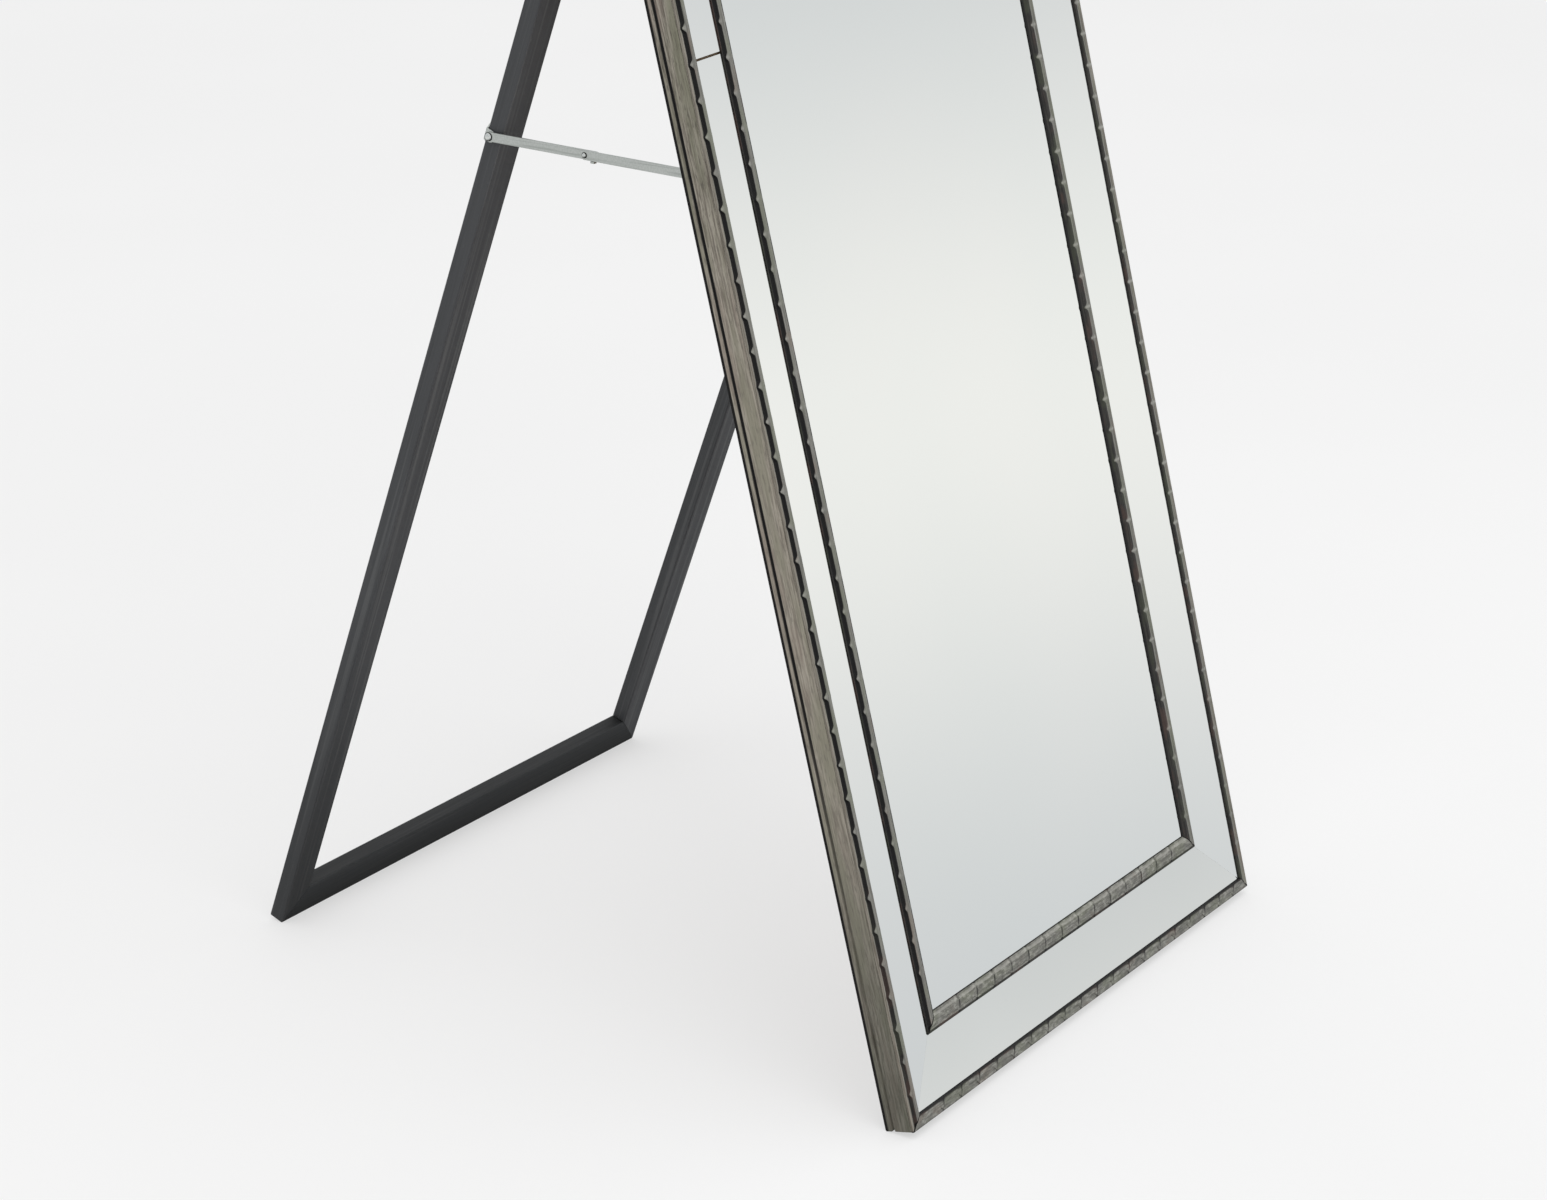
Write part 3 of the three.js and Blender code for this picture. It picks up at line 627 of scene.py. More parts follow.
@dataclass(frozen=True)
class Studio:
    """Plain pale studio: the photograph's camera, soft light and a floor without an edge."""

    camera_place: tuple[float, float, float] = (-2.6079, -1.809725, 1.484002)
    camera_pitch: float = math.radians(69.786)
    camera_yaw: float = math.radians(-55.53)
    lens: float = 85.04
    sensor: float = 36.0
    backdrop: str = "f2f2f2"
    room: str = "cfd2d4"
    glow: str = "f3f3f0"
    ceiling: str = "fdfdfd"
    below: str = "6a6a68"
    glow_height: float = -0.162
    glow_spread: float = 0.104
    fill: float = 0.94
    shadow_share: float = 0.38
    aim: tuple[float, float, float] = (0.0, 0.0, 0.6)

    def build(self) -> None:
        """Makes the camera, the world, the lamps and the floor."""
        bpy.context.scene.view_settings.view_transform = "Standard"
        self.make_camera()
        self.make_world()
        self.make_lamps()
        self.make_floor()

    def make_camera(self) -> None:
        """Puts the camera where the photograph was taken."""
        data = bpy.data.cameras.new("camera")
        data.lens = self.lens
        data.sensor_width = self.sensor
        data.sensor_fit = "HORIZONTAL"
        data.clip_end = 60
        camera = bpy.data.objects.new("camera", data)
        camera.location = self.camera_place
        camera.rotation_euler = (self.camera_pitch, 0, self.camera_yaw)
        bpy.context.scene.collection.objects.link(camera)
        bpy.context.scene.camera = camera

    def make_world(self) -> None:
        """Lights the room evenly, with a glow, a pale ceiling and a dark floor for reflections.

        With h the ray's height along the mirror's own upright, y sin(lean) + z cos(lean), the
        glow's share is exp(-((h - glow_height) / glow_spread)^2), so that all the glass of one
        mirror shows one band.
        """
        world = bpy.data.worlds.new("studio")
        world.use_nodes = True
        bpy.context.scene.world = world
        tree = world.node_tree
        air = Patterns(tree)
        ray = add_node(tree, "ShaderNodeLightPath").outputs
        way = add_node(tree, "ShaderNodeTexCoord").outputs["Generated"]
        upright = (0.0, math.sin(PLANE.lean), math.cos(PLANE.lean))
        height = add_node(tree, "ShaderNodeVectorMath", {0: way, 1: upright},
                          operation="DOT_PRODUCT").outputs["Value"]
        off = air.math("DIVIDE", air.math("SUBTRACT", height, self.glow_height), self.glow_spread)
        square = air.math("MULTIPLY", off, off)
        share = air.math("EXPONENT", air.math("MULTIPLY", square, -1.0))
        seen = air.mix(share, srgb(self.room), srgb(self.glow))
        rise = air.axis(way, "Z")
        seen = air.lay(seen, rise, 0.4, 0.8, 1.0, self.ceiling)
        seen = air.lay(seen, rise, -0.4, -0.75, 1.0, self.below)
        lit = air.mix(ray["Is Glossy Ray"], (self.fill, self.fill, self.fill, 1.0), seen)
        final = air.mix(ray["Is Camera Ray"], lit, srgb(self.backdrop))
        background = add_node(tree, "ShaderNodeBackground", {"Color": final, "Strength": 1.0})
        add_node(tree, "ShaderNodeOutputWorld", {"Surface": background.outputs["Background"]})

    def make_lamps(self) -> None:
        """Adds two big soft lamps, one on each side of the camera, that no mirror shows."""
        lamps = (
            ("key lamp", (-1.2, -2.2, 3.4), 2.2, 22.0),
            ("top lamp", (-0.1, -0.6, 4.2), 2.4, 25.0),
        )
        for name, place, size, power in lamps:
            data = bpy.data.lights.new(name, "AREA")
            data.size = size
            data.energy = power
            lamp = bpy.data.objects.new(name, data)
            lamp.location = place
            aim = Vector(self.aim) - Vector(place)
            lamp.rotation_euler = aim.to_track_quat("-Z", "Y").to_euler()
            lamp.visible_glossy = False
            lamp.visible_camera = False
            bpy.context.scene.collection.objects.link(lamp)

    def make_floor(self) -> None:
        """Lays a pale floor that takes the mirror's shadow and stays out of its glass."""
        half, thickness = 12.0, 0.02
        corners = ((-half, -half), (half, -half), (half, half), (-half, half))
        rings = np.array([[[x, y, z] for x, y in corners] for z in (-thickness, 0.0)])
        finish = Finish("studio floor", 0.9)
        tree, paper = finish.tree, finish.surface.outputs["BSDF"]
        cloud = finish.noise(finish.place(0.0), (900, 900, 900), 2)
        finish.set("Base Color", finish.tones(cloud, 0.3, 0.7, "efefef", "f2f2f2"))
        ray = add_node(tree, "ShaderNodeLightPath").outputs
        pale = add_node(tree, "ShaderNodeEmission", {"Color": srgb(self.backdrop)})
        clear = add_node(tree, "ShaderNodeBsdfTransparent")
        shaded = finish.shade(self.shadow_share, pale.outputs["Emission"], paper)
        shown = finish.shade(ray["Is Camera Ray"], paper, shaded)
        final = finish.shade(ray["Is Glossy Ray"], shown, clear.outputs["BSDF"])
        tree.links.new(final, finish.output.inputs["Surface"])
        new_piece("floor", rings, finish.material)


# ------------------------------------------------------------------ carved mouldings

@dataclass(frozen=True)
class CarvedMoulding:
    """One carved moulding on its four bars: a crest with nibs that reach over the scoops."""

    name: str
    inset: float
    foot: float
    width: float
    height: float
    rim: float
    scoop_start: float
    scoop_level: float
    crest_start: float
    crest_end: float
    edge: float
    nib_reach: float
    inner_reach: float
    dark_ledge: bool
    dark_from: float
    starts: tuple[float, ...]
    nib_pitch: float = 29.1
    nib_flank: float = 4.4
    nib_tip: float = 0.6
    slant: float = 3.0
    scoop_run: float = 5.0
    joint: float = 0.15
    crown: float = 0.14
    knot: float = 0.22
    flatter: float = 0.72
    run_out: float = 330.0
    black: float = 1.4
    turn: tuple[float, ...] = (0.0, 0.035, 0.08, 0.35, 0.7)
    cell: tuple[float, ...] = (0, .6, 1.2, 1.9, 2.7, 3.7, 5.2, 8, 12, 16, 20, 23.9, 25.4, 26.4,
                               27.2, 27.9, 28.5)

    def stations(self, side: Side) -> tuple[np.ndarray, float, float]:
        """Lists where the bar is sampled, closely at the knots and further apart between them.

        Args:
            side: which bar.

        Returns:
            The stations along the bar, the clear length at each end and the first knot's place.
        """
        length = PLANE.length(side)
        margin = self.inset + self.width + self.scoop_run
        first = margin + self.starts[list(Side).index(side)]
        count = int((length - margin - first) / self.nib_pitch)
        places = (first + self.nib_pitch * np.arange(-1, count + 1))[:, None] + self.cell
        places = places[(places > margin + 0.5) & (places < length - margin - 0.5)]
        return np.concatenate([[margin], places, [length - margin]]), margin, first

    def section(self, nib: np.ndarray, distance: np.ndarray, depth: np.ndarray,
                foot: np.ndarray, side: Side) -> dict[str, np.ndarray]:
        """Draws the section at every station.

        With n the knot's height from 0 to 1, the wall's top lies at crest_start - n nib_reach.
        The ledge runs as rim + (level - rim) (a / scoop_start)^1.5, the wall rises from it as
        t^1.6, the crest bulges by crown (1 - (2t - 1)^2) + n knot, and the inner side falls from
        crest_end + n inner_reach as (1 - t)^1.4. The short bars are carved less deep, and each
        bar carries painted light and shade of its own: the left one painted near-black shade in
        its hollow and painted highlights on its ledge and knots, the right one painted shade over
        its inner half, and the short ones painted highlights on their knots and painted shade
        along their outer edge.

        Args:
            nib: the knot's height at every station.
            distance: mm along the bar from the nearest knot.
            depth: how dark the line beside that knot is, from 0 to 1.
            foot: 1 at the foot of a long bar, where the carving runs out, and 0 above it.
            side: which bar.

        Returns:
            Across, up, rubbed paint with painted light and shade, and side paint, each of shape
            (stations, points).
        """
        n, f = nib[:, None], foot[:, None]
        one = np.ones_like(n)
        t = np.linspace(0, 1, 8)[None, :]
        blank = 0 * n * t[:, 1:]
        wall_top = self.crest_start - n * self.nib_reach
        run = (self.crest_start - self.scoop_start) * (1 - 0.6 * n)
        wall_foot = wall_top - run
        low = self.height - self.crown - self.knot
        level = self.scoop_level if side.upright else (
            self.scoop_level + self.flatter * (low - self.scoop_level))

        def ledge(a: np.ndarray) -> np.ndarray:
            """Gives the ledge's height at a distance from the outer edge."""
            return self.rim + (level - self.rim) * (a / self.scoop_start) ** 1.5

        side_a = one * np.array([[0, 0, 0.08, 0.3]])
        side_h = one * np.array([[0, self.rim - 0.4, self.rim - 0.12, self.rim - 0.02]])
        ledge_a = 0.5 + (wall_foot - 0.5) * t
        ledge_h = ledge(ledge_a)
        wall_a = wall_foot + run * t[:, 1:]
        wall_h = ledge(wall_foot) + (low - ledge(wall_foot)) * t[:, 1:] ** 1.6
        end = self.crest_end + n * self.inner_reach
        crest_a = wall_top + 0.05 + (end - wall_top - 0.1) * t
        crest_h = low + (self.crown + self.knot * n) * (1 - (2 * t - 1) ** 2)
        fall_a = end + (self.width - end) * t[:, 1:]
        fall_h = self.edge + (low - self.edge) * (1 - t[:, 1:]) ** 1.4 + blank

        toward_wall = np.clip((ledge_a - 0.35 * wall_foot) / (0.65 * wall_foot), 0, 1)
        arris, inner = (2 * t - 1) ** 2, self.dark_ledge
        edge_paint = {Side.LEFT: 1.0, Side.RIGHT: 0.4}.get(side, 0.0) * (0.0 if inner else 1.0)
        side_share = edge_paint * (1 - toward_wall ** 8)

        def line_beside(a: np.ndarray) -> np.ndarray:
            """Gives the dark line beside each knot of a short bar, slanted across the bar."""
            slanted = distance[:, None] - 1.9 - self.slant * (a / self.width - 0.5)
            return (np.exp(-(slanted / 1.3) ** 2) * depth[:, None]) if not side.upright else 0 * a

        # Left bar: painted near-black shade over the wall, the start of the crest and the inner
        # fall, and on the inner moulding over its ledge and side too; painted highlights on the
        # outer ledge and the knots.
        if side is Side.LEFT:
            glint = np.exp(-((ledge_a - 0.36 * wall_foot) / 0.7) ** 2)
            shallow = 0 * f if inner else 0.55 * f
            ledge_p = 0 * ledge_a + self.black if inner else (
                (1.5 - shallow) * np.clip(3 * toward_wall, 0, 1) - 0.4 * glint)
            side_share = side_share * (1 - 0.7 * glint)
            edge_dark, wall_p = 0.95 if inner else 0.1, 1.5 - shallow + blank
            crest_p = 0.25 * arris ** 3 - 0.45 * n * (1 - t) ** 2 + (
                0.9 * np.clip(1 - t / 0.16, 0, 1) * (1 - n) * (1 - shallow))
            fall_p = 1 + blank
        # Right bar: painted shade over the crest's inner half and the inner fall, and painted
        # highlights on the knots.
        elif side is Side.RIGHT:
            edge_dark, ledge_p, wall_p = 0.1, 0.1 + 0 * ledge_a, 0.3 + blank
            dark = np.clip((t - self.dark_from - 0.62 * n) / 0.14 + 0.5, 0, 1)
            crest_p = 0.12 * (1 - dark) + 0.95 * dark - 0.42 * n * (1 - dark)
            fall_p = 0.9 + 0.9 * t[:, 1:] ** 2 + blank
        # Short bars: painted highlights on the knots and on the inner moulding's fall, painted
        # shade along the outer edge, dark towards the glass and dark lines beside the knots.
        else:
            line = np.clip(((2.6 if inner else 1.2) - ledge_a) / 0.5, 0, 1)
            edge_dark = 0.95 if inner else 0.6
            ledge_p = 0.05 + 1.0 * line_beside(ledge_a) + (1.0 if inner else 0.6) * line
            wall_p = 0.12 + 1.0 * line_beside(wall_a)
            crest_p = 0.02 + 1.1 * line_beside(crest_a) - 0.25 * n * arris + (
                0.1 * t if inner else 1.5 * np.clip(t - 0.55, 0, 1) * 2)
            fall_p = 1.6 + blank if not inner else (
                0.8 * line_beside(fall_a) - 0.3 - 0.1 * n + 1.5 * t[:, 1:] ** 5)
        zeros = [0 * wall_a, 0 * crest_a, 0 * fall_a, 0 * one]
        return {
            "across": np.hstack([side_a, ledge_a, wall_a, crest_a, fall_a, one * self.width]),
            "up": np.hstack([side_h, ledge_h, wall_h, crest_h, fall_h, 0 * one]),
            "rubbing_and_painted_light": np.hstack([one * np.full((1, 4), edge_dark), ledge_p, wall_p, crest_p,
                                 fall_p, one]),
            "side_paint": np.hstack([one * np.full((1, 4), edge_paint), side_share, *zeros]),
        }

    def knots(self, along: np.ndarray, margin: float, first: float,
              bar: int) -> tuple[np.ndarray, np.ndarray, np.ndarray]:
        """Gives the knots along the bar, a little uneven as hand carving is.

        With d the distance to the nearest knot, its height is
        (1 - (|d| - tip) / (flank - tip))^1.4 within the flank and 0 outside it.

        Args:
            along: stations in mm.
            margin: the length at each end that no knot's middle comes near.
            first: the first knot's place.
            bar: a number for the bar, so that no two are alike.

        Returns:
            At every station the knots' height from 0 to 1, d in mm and how dark the line beside
            that knot is.
        """
        index = np.round((along - first) / self.nib_pitch)
        middle = first + index * self.nib_pitch
        distance = along - middle
        inside = (middle > margin + self.nib_flank) & (
            middle < along[-1] - self.nib_flank)
        flank = np.clip((np.abs(distance) - self.nib_tip) / (self.nib_flank - self.nib_tip), 0, 1)
        uneven = 1 - 0.12 * (0.5 + 0.5 * np.sin(index * 2.4 + bar * 1.7))
        depth = 0.8 + 0.12 * np.sin(index * 3.7 + bar)
        return inside * uneven * (1 - flank) ** 1.4, distance, inside * depth

    def bar(self, side: Side, finish: Finish) -> None:
        """Makes one bar, mitred at both ends, in place of the plain one.

        Args:
            side: which bar.
            finish: its paint.
        """
        length = PLANE.length(side)
        along, margin, first = self.stations(side)
        nib, distance, depth = self.knots(along, margin, first, list(Side).index(side))
        foot = np.clip(1 - along / self.run_out, 0, 1) if side.upright else 0 * along
        shape = self.section(nib * (1 - 0.4 * foot), distance, depth, foot, side)
        inset = self.inset + shape["across"]
        places = np.broadcast_to(along[:, None], inset.shape)
        # A few more rings turn from the mitre's slant to square, dark in the joint itself.
        share = np.array(self.turn)[:, None]
        gap = self.joint * math.sqrt(2)
        mitre, last = inset[:1] + gap, inset[-1:] + gap
        blend_in = mitre * (1 - share) + along[0] * share
        blend_out = (length - last) * (1 - share[::-1]) + along[-1] * share[::-1]
        inset, up, rubbing_and_painted_light, side_paint = (
            np.vstack([np.repeat(v[:1], len(share), 0), v, np.repeat(v[-1:], len(share), 0)])
            for v in (inset, shape["up"], shape["rubbing_and_painted_light"], shape["side_paint"]))
        rubbing_and_painted_light[[0, 1, -2, -1]] = self.black
        places = np.vstack([blend_in, places, blend_out])
        rings = PLANE.place(side, inset, self.foot + up, places)
        stand_in(f"{self.name}_{side.value}", "mirror", rings, finish.material,
                 {"rubbing_and_painted_light": rubbing_and_painted_light, "side_paint": side_paint}, prefix="carved")

    def build(self) -> None:
        """Makes the four bars."""
        for side in Side:
            self.bar(side, RubbedCarving(side))


OUTER = CarvedMoulding(
    "outer_moulding", inset=0.0, foot=27.5, width=12.0, height=3.6, rim=2.3, scoop_start=5.3,
    scoop_level=1.0, crest_start=6.6, crest_end=11.5, edge=1.0, nib_reach=4.4, inner_reach=0.2,
    dark_ledge=False, dark_from=0.35, starts=(15.7, 0.5, 0.0, 0.0))
INNER = CarvedMoulding(
    "inner_moulding", inset=62.6, foot=16.6, width=15.8, height=3.4, rim=2.4, scoop_start=3.8,
    scoop_level=0.7, crest_start=5.6, crest_end=11.2, edge=0.4, nib_reach=2.5, inner_reach=1.1,
    dark_ledge=True, dark_from=0.38, starts=(4.1, 12.7, 0.0, 0.0))


# ------------------------------------------------------------------ turned hardware

# A turned skin's pole is closed by a facet of this radius, in mm.
POLE = 0.02
X_AXIS = np.array([1.0, 0.0, 0.0])


def turned(axis_point: np.ndarray, axis: np.ndarray, outline: np.ndarray,
           sides: int = 48) -> np.ndarray:
    """Turns an outline about an axis.

    Ring k holds axis_point + h_k axis + r_k (cos(q) u + sin(q) v), for q from 0 to a full turn.

    Args:
        axis_point: where the axis starts, in metres.
        axis: its unit direction.
        outline: rows of [radius, height] in metres.
        sides: points around.

    Returns:
        Rings of shape (outline, sides, 3).
    """
    helper = np.array([0, 0, 1.0]) if abs(axis[2]) < 0.9 else np.array([1.0, 0, 0])
    u = np.cross(helper, axis)
    u /= np.linalg.norm(u)
    v = np.cross(axis, u)
    q = np.linspace(0, 2 * math.pi, sides, endpoint=False)
    circle = np.cos(q)[:, None] * u + np.sin(q)[:, None] * v
    radius, height = outline[:, 0], outline[:, 1]
    return axis_point + height[:, None, None] * axis + radius[:, None, None] * circle


def middle_axis(node: str) -> tuple[np.ndarray, float]:
    """Gives the left end of a solid's middle line along X, in metres, and its length in mm."""
    low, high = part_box(node)
    start = np.array([low.x, (low.y + high.y) / 2, (low.z + high.z) / 2])
    return start, (high.x - low.x) / MM


@dataclass(frozen=True)
class Rivet:
    """A rivet of the stay, its domed head towards -X."""

    node: str
    body: str
    head: float
    head_height: float = 1.2
    ring: float = 0.6
    shank: float = 1.8
    tail: float = 0.0
    tail_height: float = 1.0
    chamfer: float = 0.3

    def build(self, finish: Finish) -> None:
        """Makes the rivet between the ends of the solid that it replaces.

        Args:
            finish: its plating.
        """
        start, length = middle_axis(self.node)
        q = np.linspace(0, math.pi / 2, 9)
        rim = self.head - self.ring
        dome = np.stack([rim * np.sin(q) + POLE, self.head_height * 0.75 * (1 - np.cos(q))], -1)
        # A sunk ring and a thin edge part the dome from the plate.
        edge = [[rim + 0.05, 1.0], [rim + 0.2, 1.1], [self.head - 0.1, 1.0], [self.head, 1.1],
                [self.head, self.head_height]]
        if self.tail:
            top = length - self.tail_height
            end = [[self.shank, self.head_height], [self.shank, top], [self.tail, top],
                   [self.tail, length - self.chamfer], [self.tail - self.chamfer, length],
                   [POLE, length]]
        else:
            end = [[self.shank, self.head_height], [self.shank, length], [POLE, length]]
        rings = turned(start, X_AXIS, np.vstack([dome, edge, end]) * MM)
        # The sunk ring and the thin edge carry painted shade.
        ring_shade = np.repeat([0.0, 1.0, 0.0], [len(dome), len(edge), len(end)])
        ring_shade = np.broadcast_to(ring_shade[:, None], rings.shape[:2])
        stand_in(self.node, self.body, rings, finish.material, {"ring_shade": ring_shade})


@dataclass(frozen=True)
class HingePin:
    """A hinge pin with a rounded head at each end."""

    node: str
    radius: float = 1.4
    head: float = 2.4
    head_height: float = 1.0
    rounding: float = 0.6

    def build(self, finish: Finish) -> None:
        """Makes the pin along the solid that it replaces.

        Args:
            finish: its plating.
        """
        start, length = middle_axis(self.node)
        q = np.linspace(0, math.pi / 2, 6)
        cap = np.stack([self.head - self.rounding + self.rounding * np.sin(q),
                        self.rounding * (1 - np.cos(q))], -1)
        half = np.vstack([[[POLE, 0.0]], cap, [[self.head, self.head_height],
                                               [self.radius, self.head_height]]])
        other = half[::-1] * [1, -1] + [0, length]
        rings = turned(start, X_AXIS, np.vstack([half, other]) * MM)
        stand_in(self.node, "mirror", rings, finish.material)


@dataclass(frozen=True)
class SlottedScrew:
    """A countersunk wood screw with a sawn slot."""

    node: str
    body: str
    axis: tuple[float, float, float]
    turn: float
    head: float = 3.0
    head_height: float = 1.5
    shank: float = 1.3
    length: float = 8.0
    tip: float = 1.6
    slot_width: float = 0.8
    slot_depth: float = 0.7
    wall: float = 0.12
    sides: int = 96

    def build(self, finish: Finish) -> None:
        """Makes the screw, its face where the solid's face is.

        The face at (p, q) lies slot_depth lower where |p| is under half the slot's width, with
        a narrow wall beside it, and p runs across the slot.

        Args:
            finish: its plating.
        """
        low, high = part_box(self.node)
        drive = np.array(self.axis)
        middle = np.array([(a + b) / 2 for a, b in zip(low, high)])
        face = middle - drive * self.length / 2 * MM
        radii = np.concatenate([[POLE], np.linspace(0.15, self.head - 0.12, 20),
                                [self.head - 0.04]])
        top = np.stack([radii, np.zeros_like(radii)], -1)
        rest = np.array([[self.head, 0.12], [self.shank, self.head_height],
                         [self.shank, self.length - self.tip], [POLE, self.length]])
        outline = np.vstack([top, rest]) * MM
        rings = turned(face, drive, outline, self.sides)
        offset = rings - face
        across = np.cross(drive, X_AXIS) * math.cos(self.turn) + X_AXIS * math.sin(self.turn)
        p = np.abs(offset @ across) / MM
        wall = np.clip((self.slot_width / 2 + self.wall - p) / self.wall, 0, 1)
        wall[len(radii):] = 0
        rings = rings + (wall * self.slot_depth * MM)[..., None] * drive
        stand_in(self.node, self.body, rings, finish.material)


@dataclass(frozen=True)
class BentBracket:
    """A strap of steel plate bent square: a flange against wood and a round-ended ear."""

    node: str
    body: str
    lean: float
    origin: tuple[float, float]
    seat: float
    pivot: tuple[float, float]
    ear_x: float
    gap: float = 0.3
    thickness: float = 1.5
    proud: float = 0.1
    ear_radius: float = 5.4
    flange: float = 24.0
    height: float = 22.0
    bend: float = 1.6
    corner: float = 3.0
    widening: float = 7.0
    arris: float = 0.25

    def outline(self) -> tuple[np.ndarray, np.ndarray, np.ndarray, np.ndarray]:
        """Follows the strap's middle from the ear's round end, through the bend, to its far end.

        The half height is sqrt(r^2 - (r - s)^2) up to the pivot and r as far as the bend. Then it
        widens as a smooth step to half the flange's height, and both far corners are rounded.

        Returns:
            X, depth, the angle turned and the half height along the strap, in mm.
        """
        r, t = self.ear_radius, self.thickness
        way = math.copysign(1.0, self.seat - self.pivot[1])
        end = self.seat + (self.gap + t / 2) * (1.0 if self.lean < 0 else -1.0)
        tip = self.pivot[1] - way * r
        run = abs(end - tip) - self.bend
        ear = np.concatenate([r * (1 - np.cos(np.linspace(0.15, math.pi / 2, 12))),
                              np.linspace(r, run, 5)[1:]])
        q = np.linspace(0, math.pi / 2, 7)[1:]
        far = self.flange - t / 2
        flat = np.concatenate([np.linspace(self.bend, far - self.corner, 12)[1:],
                               far - self.corner * (1 - np.sin(np.linspace(0, 1.42, 8)[1:]))])
        x = self.ear_x + t / 2 + np.concatenate([0 * ear, self.bend * (1 - np.cos(q)), flat])
        depth = np.concatenate([tip + way * ear, tip + way * (run + self.bend * np.sin(q)),
                                np.full(flat.size, end)])
        turned_by = way * np.concatenate([0 * ear, q, np.full(flat.size, math.pi / 2)])
        ear_half = np.sqrt(r ** 2 - np.clip(r - ear, 0, r) ** 2)
        share = np.clip(flat / self.widening, 0, 1)
        wide = r + (self.height / 2 - r) * share ** 2 * (3 - 2 * share)
        past = np.clip((flat - far + self.corner) / self.corner, 0, 1)
        wide = wide - self.corner * (1 - np.sqrt(1 - past ** 2))
        return x, depth, turned_by, np.concatenate([ear_half, np.full(q.size, r), wide])

    def build(self, finish: Finish) -> None:
        """Makes the bracket with softened arrises, its face a little lower than its screws'.

        Args:
            finish: its plating.
        """
        x, depth, turned_by, half = self.outline()
        t, e = self.thickness / 2, self.arris
        # One ring round the plate: across its thickness, and up its height.
        across = np.array([-t, e - t, t - e, t, t, t - e, e - t, -t])
        side = np.array([-1, -1, -1, -1, 1, 1, 1, 1.0])
        drop = np.array([e, 0, 0, e, e, 0, 0, e])
        across = np.clip(across, self.proud - t, None)
        up = side * (half[:, None] - drop)
        rings = leaning_points(
            self.lean, self.origin, x[:, None] + across * np.cos(turned_by)[:, None],
            self.pivot[0] + up, depth[:, None] - across * np.sin(turned_by)[:, None])
        stand_in(self.node, self.body, rings, finish.material, smooth=False)


@dataclass(frozen=True)
class BorderStrip:
    """A length of border glass with ground arrises, mitred or cut square at its ends."""

    node: str
    side: Side
    start: float | None = None
    end: float | None = None
    outer: float = 12.3
    inner: float = 62.3
    outer_level: float = 28.44
    inner_level: float = 17.96
    thickness: float = 3.0
    joint: float = 0.03
    arris: float = 0.15

    def build(self, finish: Finish) -> None:
        """Makes the strip: an eight-cornered section carried from one end to the other.

        The front lies at outer_level + (inner_level - outer_level) (a - outer) / (inner - outer).
        An end without a place of its own is a mitre, along = a + joint.

        Args:
            finish: its silvering.
        """
        e, low = self.arris, -self.thickness
        across = np.array([self.outer + e, self.inner - e, self.inner, self.inner,
                           self.inner - e, self.outer + e, self.outer, self.outer])
        drop = np.array([0, 0, -e, low + e, low, low, low + e, -e])
        share = (across - self.outer) / (self.inner - self.outer)
        depth = self.outer_level + (self.inner_level - self.outer_level) * share + drop
        mitre = across + self.joint
        first = mitre if self.start is None else np.full(8, self.start)
        last = PLANE.length(self.side) - mitre if self.end is None else np.full(8, self.end)
        rings = PLANE.place(self.side, across, depth, np.stack([first, last]))
        stand_in(self.node, "mirror", rings, finish.material, smooth=False)


# ------------------------------------------------------------------ sub-assemblies

@dataclass(frozen=True)
class MirrorFrame:
    """Outer frame, glass, battens and back board."""

    arris: float = 0.45
    seam: float = 2.0
    seam_height: float = 907.5

    def build(self) -> None:
        """Finishes the frame's bars, the glass and the board."""
        glass, board = SilveredGlass("silvered glass", "f8f9f8", "f6f8f7"), Hardboard()
        # The short strips get a darker copy of the silvering: painted shade for their dimmer
        # reflection.
        cross = SilveredGlass("silvered glass of the short strips", "eceeed", "e9ebea")
        for side in Side:
            dress(f"frame_{side.value}", AgedFrameWood(side).material)
            soften(f"frame_{side.value}", self.arris)
            dress(f"border_batten_{side.value}", board.material)
        dress("mirror_pane", glass.material)
        for strip in self.strips():
            strip.build(glass if strip.side.upright else cross)
        dress("back_board", board.material)
        log.info("mirror frame: finished")

    def strips(self) -> list[BorderStrip]:
        """Lists the border's lengths of glass: one on each short side, two on each long one.

        Returns:
            The strips, close at the mitres and a seam apart where two lengths meet.
        """
        low, high = self.seam_height - self.seam / 2, self.seam_height + self.seam / 2
        long_ones = [BorderStrip(f"border_glass_{side.value}_{part}", side, start, end)
                     for side in (Side.LEFT, Side.RIGHT)
                     for part, start, end in (("lower", None, low), ("upper", high, None))]
        return long_ones + [BorderStrip(f"border_glass_{side.value}", side)
                            for side in (Side.BOTTOM, Side.TOP)]


@dataclass(frozen=True)
class Easel:
    """Two legs and two rails of dark wood."""

    arris: float = 0.3

    def build(self) -> None:
        """Finishes the bars and rounds their arrises."""
        rail = DarkEaselWood("rail", False, 0.031, 1.0)
        # The left leg takes much more painted shade at its foot than the right one.
        for name, foot_share in (("left", 0.7), ("right", 0.1)):
            leg = DarkEaselWood(f"{name} leg", True, 0.45, foot_share)
            dress(f"easel_leg_{name}", leg.material)
            soften(f"easel_leg_{name}", self.arris)
        for name in ("bottom", "top"):
            dress(f"easel_rail_{name}", rail.material)
            soften(f"easel_rail_{name}", self.arris)
        log.info("easel: finished")


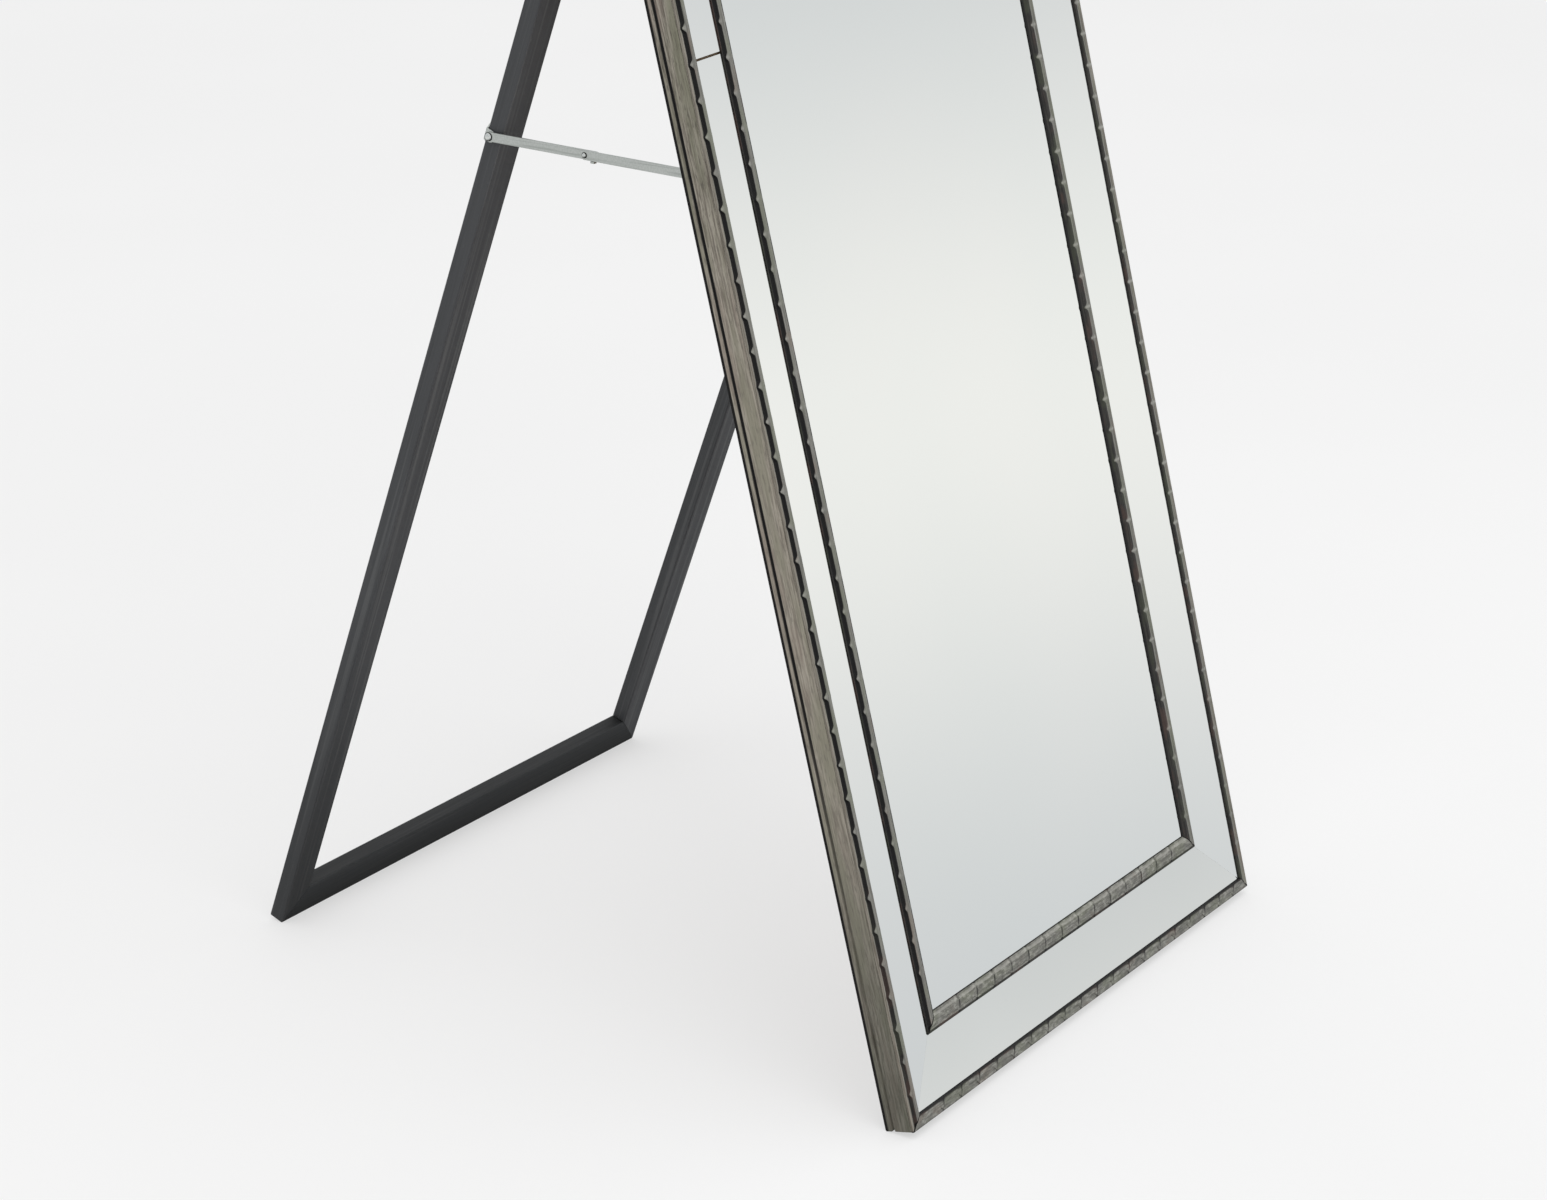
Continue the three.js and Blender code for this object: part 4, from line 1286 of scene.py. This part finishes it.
@dataclass(frozen=True)
class Hardware:
    """Butt hinges, the folding stay, its brackets, and all their rivets and screws."""

    rivets: tuple[Rivet, ...] = (
        Rivet("stay_leg_rivet", "easel", 3.8, tail=2.3),
        Rivet("stay_mirror_rivet", "mirror", 3.8, tail=2.3),
        Rivet("stay_middle_rivet", "stay_front", 2.5),
        Rivet("stay_middle_rivet_tail", "stay_rear", 2.5),
    )
    brackets: tuple[BentBracket, ...] = (
        BentBracket("stay_leg_bracket", "easel", -EASEL_LEAN, EASEL_FOOT, seat=15.7,
                    pivot=(844.0, 10.9), ear_x=-280.8),
        BentBracket("stay_mirror_bracket", "mirror", PLANE.lean, PLANE.origin, seat=9.0,
                    pivot=(817.0, 4.6), ear_x=-282.6),
    )
    arris: float = 0.25
    first_turn: float = 0.4
    more_turn: float = 0.9

    def build(self) -> None:
        """Finishes the plates and makes the turned pieces."""
        zinc, steel = ZincPlate(), RivetSteel()
        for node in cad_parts:
            if node.startswith(("hinge_", "stay_")):
                dress(node, zinc.material)
        for node in ("stay_rear_link", "stay_front_link"):
            soften(node, self.arris)
        for bracket in self.brackets:
            bracket.build(zinc)
        for side in ("left", "right"):
            HingePin(f"hinge_{side}_pin").build(zinc)
        for rivet in self.rivets:
            rivet.build(steel)
        self.screws(zinc)
        log.info("hardware: finished")

    def screws(self, zinc: Finish) -> None:
        """Makes every wood screw, its slot turned its own way.

        Args:
            zinc: the plating.
        """
        lean, fold = PLANE.lean, EASEL_LEAN
        # A screw in the mirror's back drives towards the glass, and those in the easel towards
        # the middle of its bars.
        to_glass = (0, -math.cos(lean), math.sin(lean))
        to_rear = (0, math.cos(fold), math.sin(fold))
        to_front = (0, -math.cos(fold), -math.sin(fold))
        groups = (("hinge_mirror_screw", "mirror", to_glass),
                  ("hinge_easel_screw", "easel", to_rear),
                  ("stay_mirror_screw", "mirror", to_glass),
                  ("stay_leg_screw", "easel", to_front))
        for prefix, body, axis in groups:
            for index, node in enumerate(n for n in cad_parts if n.startswith(prefix)):
                turn = self.first_turn + self.more_turn * index
                SlottedScrew(node, body, axis, turn).build(zinc)


def main() -> None:
    """Builds the studio, then the object from its glass outwards."""
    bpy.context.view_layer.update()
    Studio().build()
    MirrorFrame().build()
    OUTER.build()
    INNER.build()
    Easel().build()
    Hardware().build()


if __name__ == "__main__":
    main()
